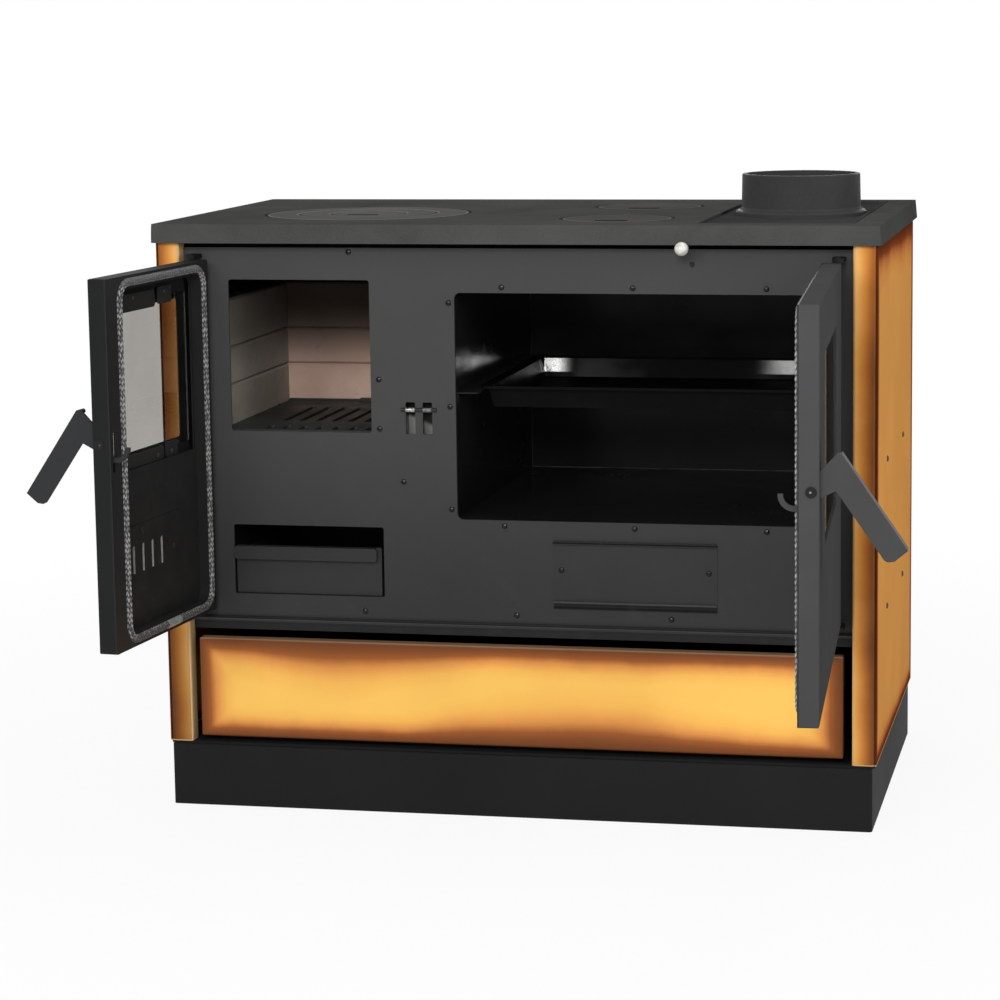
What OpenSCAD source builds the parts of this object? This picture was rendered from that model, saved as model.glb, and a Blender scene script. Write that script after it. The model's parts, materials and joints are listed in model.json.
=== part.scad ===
// Wood cookstove with a glazed firebox door, a glazed oven door, an ash drawer and a storage drawer.
// The origin is on the floor under the middle of the stove. The front faces -Y and +Z is up.
// Both doors stand open, which is the rest position of their hinges.

/* [Body] */
// Width over the side panels
body_w = 1034; // [960:1:1160]
// Depth over the lower edge of the hob rim
hob_d = 600; // [580:1:680]
// Overhang of the hob rim past each side panel
hob_overhang = 6; // [3:1:12]
// Height of the plinth
plinth_h = 90; // [70:1:110]
// Height from the plinth to the lower edge of the front panel
storage_h = 168; // [150:1:200]
// Height of the front panel
panel_h = 557; // [540:1:620]
// Gap between the front panel and the hob rim
top_gap = 8; // [7:1:12]
// Height of the hob rim
rim_h = 27; // [24:1:34]
// Width of each corner column
column_w = 32; // [26:1:38]
// How far the columns stand in front of the front panel
column_proud = 20; // [16:1:26]
// Gap from the side panels' rear edge to the hob's rear edge
rear_overhang = 15; // [10:1:25]

/* [Sheet thickness] */
// Front panel
panel_t = 4; // [3:0.5:5]
// Inner body
hot_t = 3; // [2:0.5:4]
// Side panels
side_t = 2; // [1.5:0.5:3]
// Columns, drawers and rear panel
thin_t = 1.5; // [1:0.25:2]
// Door skins
skin_t = 2; // [1.5:0.5:3]

/* [Firebox] */
// Width of the firebox opening
fire_w = 209; // [180:1:230]
// Height of the firebox opening
fire_h = 219; // [190:1:230]
// Depth of the firebox from the front panel to the rear bricks
fire_depth = 350; // [300:1:370]
// Thickness of the firebricks
brick_t = 28; // [20:1:32]
// How far the brick faces stand outside the opening
brick_setback = 18; // [10:1:20]
// Heights of the three brick courses
course_h = [64, 55, 72]; // [40:1:80]
// Width of the ash opening
ash_w = 224.5; // [200:0.5:226]
// Height of the ash opening
ash_h = 102; // [90:1:120]
// Distance between the grate slots
grate_pitch = 25; // [20:1:30]
// Width of a grate slot
grate_slot_w = 9; // [6:0.5:12]

/* [Oven] */
// Height of the oven opening
oven_h = 325; // [280:1:340]
// Inner depth of the oven from the front panel
oven_depth = 513; // [400:1:515]
// Width of the baking tray over its rim
tray_w = 470; // [430:1:490]
// Depth of the baking tray over its rim
tray_d = 396; // [340:1:440]
// Depth of the baking tray's bowl
tray_h = 28; // [25:1:45]

/* [Doors] */
// Thickness of both doors
door_t = 26.5; // [22:0.5:30]
// Gap between a closed door and the front panel
seal_gap = 5; // [4:0.5:7]
// Diameter of the rope seal
rope_d = 12; // [10:0.5:14]
// Radius of the rope seal at the corners
rope_r = 26; // [20:1:34]
// Opening angle of the firebox door in the rest position
fire_door_angle = 95.6; // [0:0.1:120]
// Opening angle of the oven door in the rest position
oven_door_angle = 93.7; // [0:0.1:120]
// Thickness of the door glass
glass_t = 4; // [3:0.5:5]
// Distance between the air slots
air_pitch = 30; // [24:1:32]
// Number of air slots
air_count = 5; // [3:1:6]

/* [Hob] */
// Thickness of the cast hob plates
hob_t = 10; // [8:0.5:14]
// Radius of the outer hob ring
ring_r = 150; // [130:1:160]
// Radius of the inner hob ring
inner_ring_r = 103.5; // [90:0.5:115]
// Radius of the centre disc
disc_r = 57; // [45:1:65]
// Radius of the two small covers
cover_r = 79; // [65:1:85]
// Width of the flue plate's recess
flue_recess_w = 220; // [205:1:240]
// Outer diameter of the flue collar
collar_d = 174; // [150:1:180]
// Bore of the flue collar
collar_bore = 160.5; // [130:0.5:165]
// Height of the flue collar above the hob
collar_h = 56; // [40:1:80]

/* [Controls] */
// Diameter of the damper knob
knob_d = 19.5; // [16:0.5:24]
// Diameter of the damper rod
rod_d = 6; // [5:0.5:7]
// Thickness of the handle plates
lever_t = 5; // [4:0.5:6]
// Travel of the air slider
air_travel = 14; // [10:1:15]

/* [Hidden] */
$fn = 48;
fit = 0.05;
slack = 0.3;
body_x = body_w / 2;
hob_x = body_x + hob_overhang;
hob_y = hob_d / 2;
panel_z0 = plinth_h + storage_h;
panel_z1 = panel_z0 + panel_h;
rim_z0 = panel_z1 + top_gap;
hob_z = rim_z0 + rim_h;
plate_z = hob_z - hob_t;
base_t = 3;
base_z = plinth_h + base_t;

door_face_y = -hob_y + 0.5;
door_inner_y = door_face_y + door_t;
panel_y = door_inner_y + seal_gap;
panel_back_y = panel_y + panel_t;
column_y = panel_y - column_proud;
body_back_y = hob_y - rear_overhang;
side_x = body_x - side_t;
column_x1 = side_x - 0.2;
column_x0 = column_x1 - column_w;
panel_x = column_x0 - 0.8;
side_z1 = rim_z0 - 1;

// Inner body, the welded hot box behind the front panel
hot_x = body_x - 17;
hot_z0 = panel_z0 + 4;
hot_back_y = body_back_y - 5;
hot_front_y = panel_back_y + hot_t;

// Openings in the front panel
fire_x0 = -body_x + 100;
fire_x1 = fire_x0 + fire_w;
fire_z1 = panel_z1 - 46;
fire_z0 = fire_z1 - fire_h;
split_x = fire_x1 + 70;
oven_x0 = split_x + 54;
oven_x1 = body_x - 87;
oven_cx = (oven_x0 + oven_x1) / 2;
oven_z1 = panel_z1 - 63;
oven_z0 = oven_z1 - oven_h;
oven_cz = (oven_z0 + oven_z1) / 2;
ash_x0 = fire_x0 - 1;
ash_x1 = ash_x0 + ash_w;
ash_z0 = panel_z0 + 53;
ash_z1 = ash_z0 + ash_h;
opening_r = 9;
fire_r = 4;
ash_r = 3;

// Doors, given in their closed position
hinge_x = panel_x - 19;
hinge_y = door_face_y + 4.5;
door_edge = 8;
door_gap = 3;
door_z0 = panel_z0 + 34;
door_z1 = panel_z1 - 16;
door_cz = (door_z0 + door_z1) / 2;
fire_door_x0 = -hinge_x - door_edge;
fire_door_x1 = split_x - door_gap / 2;
oven_door_x0 = split_x + door_gap / 2;
oven_door_x1 = hinge_x + door_edge;
fire_free_margin = 40.5;
oven_free_margin = 34;
hinge_margin = 16;
rope_margin_z = skin_t + rope_d / 2 + 1.8;
rope_y = panel_y - slack - rope_d / 2;
channel_gap = rope_d / 2 + 0.2;
channel_t = 1.5;
channel_floor_y = rope_y - rope_d / 2 - 0.3;
glass_back_y = door_face_y + skin_t + 0.2 + glass_t;
recess_floor_y = glass_back_y + 2.8 + channel_t;
ledge_w = 5;
pin_r = 4;
lug_t = 6;
lug_r = 8;

// Handles and latch
latch_z = door_cz + 38.5;
latch_pin_r = 3.2;
latch_slot_w = 14;
latch_slot_x = 12.5;
pivot_z = latch_z - 7;
pivot_y = door_inner_y - 16.5;
pivot_r = 4;
lever_x = door_gap / 2 + 11;

// Firebox lining
brick_x0 = fire_x0 - brick_setback;
brick_x1 = fire_x1 + brick_setback;
brick_y0 = panel_back_y + 32;
brick_y1 = panel_y + fire_depth;
casing_t = 2;
casing_x0 = brick_x0 - brick_t - casing_t;
casing_x1 = brick_x1 + brick_t + casing_t;
hearth_t = 4;
grate_t = 6;
hearth_z = fire_z0 + 1 - grate_t - slack;
brick_top = hearth_z + course_h[0] + course_h[1] + course_h[2];

// Ash box and drawer
ash_box_t = 2;
ash_floor_z = ash_z0 + 0.7;
ash_back_y = brick_y1 - 22;

// Oven box and tray
oven_t = 2;
oven_back_y = panel_y + oven_depth;
oven_flange = 14;
rail_w = (oven_x1 - oven_x0 - tray_w) / 2 + 8;
rail_z = oven_z0 + 182;
tray_y0 = panel_y + 52;
tray_t = 1.5;
tray_rim = 12;
tray_lip = 4;

// Hob layout
ring_x = -hob_x + 258;
ring_y = -52;
flue_x0 = hob_x - 41 - flue_recess_w;
flue_x1 = flue_x0 + flue_recess_w;
flue_y0 = -hob_y + 50;
flue_y1 = hob_y - 45;
flue_lip = 10;
flue_lip_t = 3;
flue_plate_t = 3;
collar_x = hob_x - 148;
collar_y = 16;
cover_x = flue_x0 - 132;
front_cover_y = -150;
rear_cover_y = 126;
step_w = 7;
step_h = hob_t / 2;
ring_bevel = 1.2;
lifter_w = 46;
lifter_d = 14;

// Flue box and damper
guide_x = flue_x0 - 7.5;
guide_w = 10.5;
damper_t = 2.5;
damper_x = guide_x + 4;
damper_y0 = -68;
damper_w = 106;
damper_z0 = oven_z1 + oven_t + 3;
damper_z1 = plate_z - 6;
rod_x = flue_x0 - 13;
rod_z = panel_z1 + rod_d / 2 + 0.5;
knob_y = -hob_y - knob_d / 2 - 0.8;
window_y0 = -58;
window_w = 86;

// Storage drawer
drawer_x = panel_x - 12;
drawer_front_y = column_y + 3;
drawer_front_t = 18;
drawer_z0 = plinth_h + 11;
drawer_z1 = panel_z0 - 11;
drawer_box_x = panel_x - 39;
drawer_back_y = body_back_y - 45;

rivet_r = 4;
rivet_shank_r = 2.4;
screw_r = 4.5;

// Shared shapes

// Rounded rectangle between two corners
module round_rect(x0, y0, x1, y1, r) {
    translate([x0 + r, y0]) square([x1 - x0 - 2 * r, y1 - y0]);
    translate([x0, y0 + r]) square([x1 - x0, y1 - y0 - 2 * r]);
    for (x = [x0 + r, x1 - r], y = [y0 + r, y1 - r])
        translate([x, y]) circle(r);
}

// Rounded rectangle grown by a margin, with a corner radius that grows with it
module grown_rect(box, r, grow) {
    round_rect(box[0] - grow, box[1] - grow, box[2] + grow, box[3] + grow, r + grow);
}

// Band between two growths of the same rounded rectangle
module rect_band(box, r, outer, inner) {
    difference() {
        grown_rect(box, r, outer);
        grown_rect(box, r, inner);
    }
}

// Upright sheet: a drawing in X and Z, from y0 backwards by t
module upright(y0, t) {
    translate([0, y0 + t, 0]) rotate([90, 0, 0]) linear_extrude(t) children();
}

// Flat sheet: a drawing in X and Y, from z0 upwards by t
module flat(z0, t) {
    translate([0, 0, z0]) linear_extrude(t) children();
}

// Side sheet: a drawing in Y and Z, from x0 to the right by t
module sideways(x0, t) {
    translate([x0, 0, 0]) rotate([90, 0, 90]) linear_extrude(t) children();
}

// Plain block between two corners
module block(a, b) {
    translate(a) cube(b - a);
}

// Block with all its front edges rounded, for pressed fronts
module pressed_block(x0, x1, z0, z1, y0, y1, r) {
    intersection() {
        upright(y0, y1 - y0) round_rect(x0, z0, x1, z1, r);
        flat(z0, z1 - z0) round_rect(x0, y0, x1, y1 + 2 * r, r);
        sideways(x0, x1 - x0) round_rect(y0, z0, y1 + 2 * r, z1, r);
    }
}

// Domed rivet or screw along +Y, with its head on the plane y = 0
module rivet(head_r, shank_r, length) {
    rotate([90, 0, 0]) {
        rotate_extrude() polygon([[0, -length], [shank_r, -length], [shank_r, 0], [head_r, 0],
            [head_r, 0.8], [head_r * 0.72, 2], [head_r * 0.3, 2.5], [0, 2.5]]);
    }
}

// Flush screw along +Y with a slot, its head level with the plane y = 0
module flush_screw(head_r, shank_r, length) {
    depth = head_r - shank_r;
    difference() {
        rotate([90, 0, 0]) rotate_extrude() polygon([[0, -length], [shank_r, -length],
            [shank_r, -depth], [head_r, 0], [0, 0]]);
        block([-head_r, -1, -0.6], [head_r, 0.6, 0.6]);
    }
}

// Countersunk holes for the flush screws, through a sheet whose front is at y0
module flush_holes(points, y0, t) {
    for (p = points) translate([p[0], y0, p[1]]) rotate([90, 0, 0]) rotate_extrude()
        polygon([[0, -t - 1], [rivet_shank_r + fit, -t - 1],
            [rivet_shank_r + fit, rivet_shank_r - rivet_r], [rivet_r + fit, 0], [rivet_r + fit, 1], [0, 1]]);
}

// Centres of the round holes for the front rivets, in X and Z
front_rivet_points = concat(
    [for (dx = [-188, 0, 188]) [oven_cx + dx, oven_z1 + 8]],
    [for (dx = [-188, 0, 188]) [oven_cx + dx, oven_z0 - 8]],
    [for (x = [oven_x0 - 8, oven_x1 + 8], dz = [-148, 0, 148]) [x, oven_cz + dz]]);
panel_rivet_points = [[fire_x0 + 180, panel_z1 - 6],
    [fire_x1 + 12, fire_z0 + 77], [fire_x1 + 12, fire_z0 + 6], [fire_x1 + 46, fire_z0 - 70],
    [fire_x1 - 15, panel_z0 + 32], [fire_x1 + 209, panel_z0 + 32], [fire_x1 + 433, panel_z0 + 32]];
flush_screw_points = [[oven_x1 - 173, panel_z1 - 21]];
panel_screw_points = concat(panel_rivet_points, flush_screw_points);

module rivet_holes(points, r) {
    for (p = points) translate(p) circle(r);
}

module side_screw_points() {
    for (y = [-138, 114], z = [hot_z0 + 31, hot_z0 + 245]) translate([0, y, z]) children();
}

// Puts a door part that is drawn closed into its open rest position
module fire_door_open() {
    translate([-hinge_x, hinge_y, 0]) rotate([0, 0, -fire_door_angle])
        translate([hinge_x, -hinge_y, 0]) children();
}

module oven_door_open() {
    translate([hinge_x, hinge_y, 0]) rotate([0, 0, oven_door_angle])
        translate([-hinge_x, -hinge_y, 0]) children();
}

// Base

module plinth() {
    x = body_x - 5;
    y0 = column_y - 7;
    y1 = hob_y;
    wall = 2;
    flange = 26;
    color("#1d1d1d") difference() {
        flat(0, plinth_h) round_rect(-x, y0, x, y1, 5);
        flat(-1, plinth_h - wall + 1) round_rect(-x + wall, y0 + wall, x - wall, y1 - wall, 3);
        flat(plinth_h - wall - 1, wall + 2)
            round_rect(-x + flange, y0 + flange, x - flange, y1 - flange, 8);
    }
}

module base_plate() {
    color("#1b1b1b") flat(plinth_h, base_t)
        round_rect(-body_x + 2, column_y, body_x - 2, body_back_y + 2, 3);
}

// Side frames: two angle posts and two rails a side, which take the side panels' screws
module side_frames() {
    leg = side_x - hot_x - 1;
    x0 = hot_x;
    x1 = x0 + leg;
    front = panel_back_y + 12;
    rear = hot_back_y - 20;
    t = 2;
    color("#2a2a2a") for (s = [0, 1]) mirror([s, 0, 0]) difference() {
        union() {
            for (y = [front, rear]) {
                block([x0, y, base_z], [x0 + t, y + leg, side_z1 - side_t - 0.5]);
                block([x0, y, base_z], [x1, y + t, side_z1 - side_t - 0.5]);
            }
            for (z = [hot_z0 + 31, hot_z0 + 245])
                block([x0, front + t, z - 10], [x1, rear, z + 10]);
        }
        for (z = [hot_z0 + 31, hot_z0 + 245])
            block([x0 + t, front + t + 14, z - 8], [x1 - t, rear - 1, z + 8]);
        translate([x1 - t - 1, 0, 0]) side_screw_points()
            rotate([0, 90, 0]) cylinder(r = rivet_shank_r, h = t + 2);
    }
}

// Enamelled side panel with flanges at its top and rear edges
module side_panel(s) {
    y0 = column_y + 1;
    top_flange = 12;
    rear_flange = 15;
    color("#c98a3c") mirror([s, 0, 0]) difference() {
        union() {
            block([side_x, y0, base_z], [body_x, body_back_y, side_z1]);
            block([side_x - top_flange, panel_back_y + 6, side_z1 - side_t],
                [side_x, body_back_y, side_z1]);
            block([side_x - rear_flange, body_back_y - side_t, base_z],
                [side_x, body_back_y, side_z1]);
        }
        translate([side_x - 1, 0, 0]) side_screw_points()
            rotate([0, 90, 0]) cylinder(r = rivet_shank_r + fit, h = side_t + 2);
        rear_screw_holes(0);
    }
}

module left_side_panel() { side_panel(1); }
module right_side_panel() { side_panel(0); }

module side_screws() {
    color("#5a4326") for (s = [-1, 1])
        translate([s * body_x, 0, 0]) side_screw_points()
            rotate([0, 0, s * 90]) rivet(screw_r, rivet_shank_r, side_t + 3);
}

rear_screw_x = side_x - 8;
module rear_screw_points() {
    for (x = [-rear_screw_x, rear_screw_x], k = [0:3])
        translate([x, 0, base_z + 60 + k * (side_z1 - base_z - 120) / 3]) children();
}

module rear_screw_holes(grow) {
    rear_screw_points() translate([0, body_back_y - 4, 0]) rotate([-90, 0, 0])
        cylinder(r = rivet_shank_r + grow, h = 8);
}

// Rear shield with two rows of air slots
module rear_panel() {
    slots = 9;
    pitch = 90;
    color("#262626") difference() {
        upright(body_back_y, thin_t) round_rect(-side_x + 1, base_z, side_x - 1, side_z1, 4);
        rear_screw_holes(fit);
        for (k = [0:slots - 1], z = [base_z + 60, side_z1 - 110])
            upright(body_back_y - 1, thin_t + 2)
                translate([(k - (slots - 1) / 2) * pitch, 0]) round_rect(-4, z, 4, z + 50, 3.9);
    }
}

module rear_screws() {
    color("#4a4a4a") rear_screw_points() translate([0, body_back_y + thin_t, 0])
        rotate([0, 0, 180]) rivet(screw_r, rivet_shank_r, thin_t + side_t + 2);
}

// Corner column: a folded strip with a rounded front and two returns
module column(s) {
    r = 4;
    color("#d08a3a") mirror([s, 0, 0]) flat(base_z, side_z1 - base_z) difference() {
        intersection() {
            round_rect(column_x0, column_y, column_x1, panel_back_y + 4 * r, r);
            translate([column_x0, column_y]) square([column_w, panel_back_y - column_y]);
        }
        round_rect(column_x0 + thin_t, column_y + thin_t, column_x1 - thin_t,
            panel_back_y + 4 * r, r - thin_t);
    }
}

module left_column() { column(1); }
module right_column() { column(0); }

// Welded inner body: floor, two sides, rear wall, front frame and the strip under the hob
module inner_body() {
    flange = 25;
    strip_y = panel_back_y + 24;
    strip_z = fire_z1 + 24;
    color("#242424") difference() {
        union() {
            block([-hot_x, panel_back_y, hot_z0], [hot_x, hot_back_y, hot_z0 + hot_t]);
            for (x = [-hot_x, hot_x - hot_t])
                block([x, panel_back_y, hot_z0], [x + hot_t, hot_back_y, plate_z]);
            block([-hot_x, hot_back_y - hot_t, hot_z0], [hot_x, hot_back_y, plate_z]);
            for (x = [-hot_x, hot_x - flange])
                block([x, panel_back_y, hot_z0], [x + flange, hot_front_y, panel_z1 - 2]);
            block([-hot_x, panel_back_y, hot_z0], [hot_x, hot_front_y, hot_z0 + 14]);
            block([-hot_x, strip_y, strip_z], [hot_x, strip_y + hot_t, plate_z]);
            block([-hot_x, panel_back_y, strip_z], [hot_x, strip_y, strip_z + hot_t]);
        }
        translate([rod_x, strip_y - 1, rod_z]) rotate([-90, 0, 0])
            cylinder(r = rod_d / 2 + slack, h = hot_t + 2);
        upright(panel_back_y - 1, hot_t + 2) rivet_holes(panel_screw_points, rivet_shank_r + fit);
    }
}

// Front

// Pierced front panel with a rolled bead and a set-back lower lip
module front_panel() {
    bead_z = panel_z0 + 17;
    color("#404142") {
        difference() {
            upright(panel_y, panel_t) difference() {
                translate([-panel_x, panel_z0]) square([2 * panel_x, panel_h]);
                round_rect(fire_x0, fire_z0, fire_x1, fire_z1, fire_r);
                round_rect(ash_x0, ash_z0, ash_x1, ash_z1, ash_r);
                round_rect(oven_x0, oven_z0, oven_x1, oven_z1, opening_r);
                for (s = [-1, 1])
                    translate([split_x + s * latch_slot_x, latch_z - 12])
                        round_rect(-latch_slot_w / 2, -23, latch_slot_w / 2, 23, 2);
                round_rect(cleaning_x0 + 20, cleaning_z0 + 14, cleaning_x1 - 20, cleaning_z1 - 14, 6);
                rivet_holes(front_rivet_points, rivet_shank_r + fit);
                rivet_holes(panel_rivet_points, rivet_shank_r + fit);
                rivet_holes(cleaning_screw_points, rivet_shank_r + fit);
            }
            block([-panel_x - 1, panel_y - 1, panel_z0 - 1], [panel_x + 1, panel_y + 1.5, bead_z - 2]);
            flush_holes(flush_screw_points, panel_y, panel_t);
            translate([split_x - 26 - fit, panel_y + 0.5, latch_z]) rotate([0, 90, 0])
                cylinder(r = latch_pin_r + fit, h = 52 + 2 * fit);
        }
        difference() {
            translate([-panel_x, panel_y + 1, bead_z]) rotate([0, 90, 0])
                cylinder(r = 3.5, h = 2 * panel_x);
            block([-panel_x - 1, panel_y + 1, bead_z - 5], [panel_x + 1, panel_y + 9, bead_z + 5]);
        }
    }
}

cleaning_x0 = oven_cx - 118;
cleaning_x1 = oven_cx + 118;
cleaning_z0 = door_z0 + rope_margin_z + rope_d / 2 + 0.4;
cleaning_z1 = panel_z0 + 141;
cleaning_t = 1;
cleaning_screw_points = [[cleaning_x0 + 12, (cleaning_z0 + cleaning_z1) / 2 + 4],
    [cleaning_x1 - 12, (cleaning_z0 + cleaning_z1) / 2 + 4]];

// Cover of the cleaning hole under the oven, with a folded rib along its top and bottom
module cleaning_cover() {
    rib = 4.5;
    color("#3f4041") difference() {
        union() {
            upright(panel_y - cleaning_t, cleaning_t)
                round_rect(cleaning_x0, cleaning_z0, cleaning_x1, cleaning_z1, 3);
            for (z = [cleaning_z0, cleaning_z1 - rib])
                upright(panel_y - cleaning_t - 3.4, 3.5)
                    round_rect(cleaning_x0, z, cleaning_x1, z + rib, 2.2);
        }
        upright(panel_y - cleaning_t - 1, cleaning_t + 2)
            rivet_holes(cleaning_screw_points, rivet_shank_r + fit);
    }
}

module cleaning_screws() {
    color("#4c4c4c") for (p = cleaning_screw_points)
        translate([p[0], panel_y - cleaning_t, p[1]]) difference() {
            rivet(rivet_r, rivet_shank_r, cleaning_t + panel_t + 2);
            block([-0.5, -4, -5], [0.5, -1.6, 5]);
        }
}

module front_rivets() {
    color("#303030") {
        for (p = front_rivet_points)
            translate([p[0], panel_y, p[1]]) rivet(rivet_r, rivet_shank_r, panel_t + oven_t + 1.5);
        for (p = panel_rivet_points)
            translate([p[0], panel_y, p[1]]) rivet(rivet_r, rivet_shank_r, panel_t + 0.5);
        for (p = flush_screw_points)
            translate([p[0], panel_y, p[1]]) flush_screw(rivet_r, rivet_shank_r, panel_t + 0.5);
    }
}

// Bar across the two slots that the handles' hooks catch from below
module latch_pin() {
    color("#a8a8a8") translate([split_x - 26, panel_y + 0.5, latch_z]) rotate([0, 90, 0])
        cylinder(r = latch_pin_r, h = 52);
}

// Closed pocket behind the slots, with a sloping guide under each hook
module latch_box() {
    x0 = split_x - 21.5;
    x1 = split_x + 21.5;
    z0 = latch_z - 44;
    z1 = latch_z + 18;
    y1 = panel_back_y + 18;
    t = 1.5;
    color("#2c2c2c") {
        difference() {
            block([x0, panel_back_y, z0], [x1, y1, z1]);
            block([x0 + t, panel_back_y - 1, z0 + t], [x1 - t, y1 - t, z1 - t]);
        }
        sideways(x0 + t, x1 - x0 - 2 * t) polygon([[panel_back_y + 3, z0 + t], [y1 - t, z0 + t],
            [y1 - t, z0 + t + 2]]);
    }
}

// Four welded lugs with a bore for the door pins
module hinge_lugs() {
    color("#333333") for (s = [-1, 1], z = [door_z0 - 0.4 - lug_t, door_z1 + 1])
        flat(z, lug_t) difference() {
            union() {
                translate([s * hinge_x, hinge_y]) circle(lug_r);
                translate([s * hinge_x - lug_r, hinge_y]) square([2 * lug_r, panel_y - hinge_y]);
            }
            translate([s * hinge_x, hinge_y]) circle(pin_r + fit);
        }
}

// Hob

// Block with its four sides drafted inwards towards the top
module drafted_block(x, y, z0, z1, draft, r) {
    intersection() {
        upright(-y - 1, 2 * y + 2)
            polygon([[-x, z0], [x, z0], [x - draft, z1], [-x + draft, z1]]);
        sideways(-x - 1, 2 * x + 2)
            polygon([[-y, z0], [y, z0], [y - draft, z1], [-y + draft, z1]]);
        flat(z0, z1 - z0) round_rect(-x, -y, x, y, r);
    }
}

// Round hole with a ledge in its lower half
module stepped_hole(r) {
    translate([0, 0, plate_z + step_h]) cylinder(r = r, h = step_h + 1);
    translate([0, 0, plate_z - 1]) cylinder(r = r - step_w, h = hob_t + 1);
    translate([0, 0, hob_z - ring_bevel])
        cylinder(r1 = r, r2 = r + ring_bevel + 1, h = ring_bevel + 1);
}

// Round plate whose rim rests on the ledge of a stepped hole
module stepped_disc(r) {
    rim = r - 0.5;
    rotate_extrude() polygon([[0, plate_z], [rim - step_w, plate_z],
        [rim - step_w, plate_z + step_h + slack], [rim, plate_z + step_h + slack],
        [rim, hob_z - ring_bevel], [rim - ring_bevel, hob_z], [0, hob_z]]);
}

module lifter_slot(x, y) {
    flat(hob_z - 6, 7) translate([x, y])
        round_rect(-lifter_w / 2, -lifter_d / 2, lifter_w / 2, lifter_d / 2, 5);
}

module hob_top() {
    wall = 9;
    color("#3f3e3d") difference() {
        drafted_block(hob_x, hob_y, rim_z0, hob_z, 3, 12);
        flat(rim_z0 - 1, plate_z - rim_z0 + 1)
            round_rect(-hob_x + wall, -hob_y + wall, hob_x - wall, hob_y - wall, 8);
        translate([ring_x, ring_y, 0]) stepped_hole(ring_r);
        for (y = [front_cover_y, rear_cover_y]) translate([cover_x, y, 0]) stepped_hole(cover_r);
        flat(plate_z + flue_lip_t, hob_t) round_rect(flue_x0, flue_y0, flue_x1, flue_y1, 4);
        flat(plate_z - 1, hob_t) round_rect(flue_x0 + flue_lip, flue_y0 + flue_lip,
            flue_x1 - flue_lip, flue_y1 - flue_lip, 4);
    }
}

module outer_ring() {
    color("#3a3a3a") translate([ring_x, ring_y, 0]) difference() {
        stepped_disc(ring_r);
        stepped_hole(inner_ring_r);
    }
}

module inner_ring() {
    color("#3c3c3c") translate([ring_x, ring_y, 0]) difference() {
        stepped_disc(inner_ring_r);
        stepped_hole(disc_r);
    }
}

module centre_disc() {
    color("#383838") translate([ring_x, ring_y, 0]) difference() {
        stepped_disc(disc_r);
        lifter_slot(0, -32);
    }
}

module front_cover() {
    color("#3a3a3a") translate([cover_x, front_cover_y, 0]) difference() {
        stepped_disc(cover_r);
        lifter_slot(0, -48);
    }
}

module rear_cover() {
    color("#3a3a3a") translate([cover_x, rear_cover_y, 0]) difference() {
        stepped_disc(cover_r);
        lifter_slot(0, -48);
    }
}

// Sunk plate that carries the flue collar, with a raised rib along its right edge
module flue_plate() {
    gap = 1.5;
    z0 = plate_z + flue_lip_t;
    z1 = z0 + flue_plate_t;
    color("#363636") difference() {
        union() {
            flat(z0, flue_plate_t)
                round_rect(flue_x0 + gap, flue_y0 + gap, flue_x1 - gap, flue_y1 - gap, 3);
            block([flue_x1 - gap - 7, flue_y0 + 8, z1 - 1], [flue_x1 - gap, flue_y1 - 8, hob_z]);
            block([flue_x1 - gap - 42, flue_y0 + 8, z1 - 1], [flue_x1 - gap, flue_y0 + 13, hob_z]);
            translate([collar_x, collar_y, z0]) cylinder(r = collar_d / 2 + 12, h = flue_plate_t + 1.5);
        }
        translate([collar_x, collar_y, z0 - 1]) cylinder(r = collar_bore / 2, h = 12);
    }
}

// Cast collar for the flue pipe
module flue_collar() {
    z0 = plate_z + flue_lip_t + flue_plate_t + 1.5;
    r = collar_d / 2;
    color("#3b3b3b") translate([collar_x, collar_y, 0]) rotate_extrude() difference() {
        polygon([[r - 14, z0], [r + 9, z0], [r + 9, z0 + 3], [r + 7, z0 + 5], [r + 2, z0 + 6],
            [r + 0.5, z0 + 10], [r - 0.5, hob_z + collar_h - 1.5], [r - 2, hob_z + collar_h],
            [r - 14, hob_z + collar_h]]);
        translate([0, z0 - 1]) square([collar_bore / 2, collar_h + 20]);
    }
}

// Box that leads the smoke from the rear passage and the damper window up to the flue
module flue_box() {
    x0 = guide_x + guide_w;
    z0 = oven_z1 + oven_t;
    y0 = damper_y0 - 12;
    x1 = hot_x - hot_t;
    color("#232323") {
        difference() {
            block([x0, y0, z0], [x0 + hot_t, hot_back_y - hot_t, plate_z]);
            sideways(x0 - 1, hot_t + 2)
                round_rect(window_y0, z0 + 14, window_y0 + window_w, plate_z - 16, 4);
        }
        block([x0 + hot_t, y0, z0], [x1, y0 + hot_t, plate_z]);
    }
}

// Channel that the damper plate slides in
module damper_guide() {
    z0 = oven_z1 + oven_t;
    length = 230;
    y1 = damper_y0 + damper_w + 10;
    color("#2b2b2b") difference() {
        block([guide_x, y1 - length, z0], [guide_x + guide_w, y1, z0 + 12]);
        block([guide_x + 3, y1 - length - 1, z0 + 2], [guide_x + guide_w - 3, y1 + 1, z0 + 13]);
    }
}

module damper_plate() {
    lug_y = damper_y0 + 4;
    color("#4a4a4a") {
        sideways(damper_x, damper_t)
            round_rect(damper_y0, damper_z0, damper_y0 + damper_w, damper_z1, 3);
        block([rod_x - 6, lug_y, rod_z - 7], [damper_x, lug_y + 3, rod_z + 7]);
    }
}

// Pull rod, which ends on the damper plate's lug and in the knob
module damper_rod() {
    lug_y = damper_y0 + 4;
    color("#9a9a98") translate([rod_x, knob_y + 4, rod_z]) rotate([-90, 0, 0])
        cylinder(r = rod_d / 2, h = lug_y - knob_y - 4);
}

module damper_knob() {
    color("#e8e8e4") difference() {
        translate([rod_x, knob_y, rod_z]) sphere(r = knob_d / 2);
        translate([rod_x, knob_y + 4, rod_z]) rotate([-90, 0, 0]) cylinder(r = rod_d / 2, h = knob_d);
    }
}

// Firebox

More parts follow.
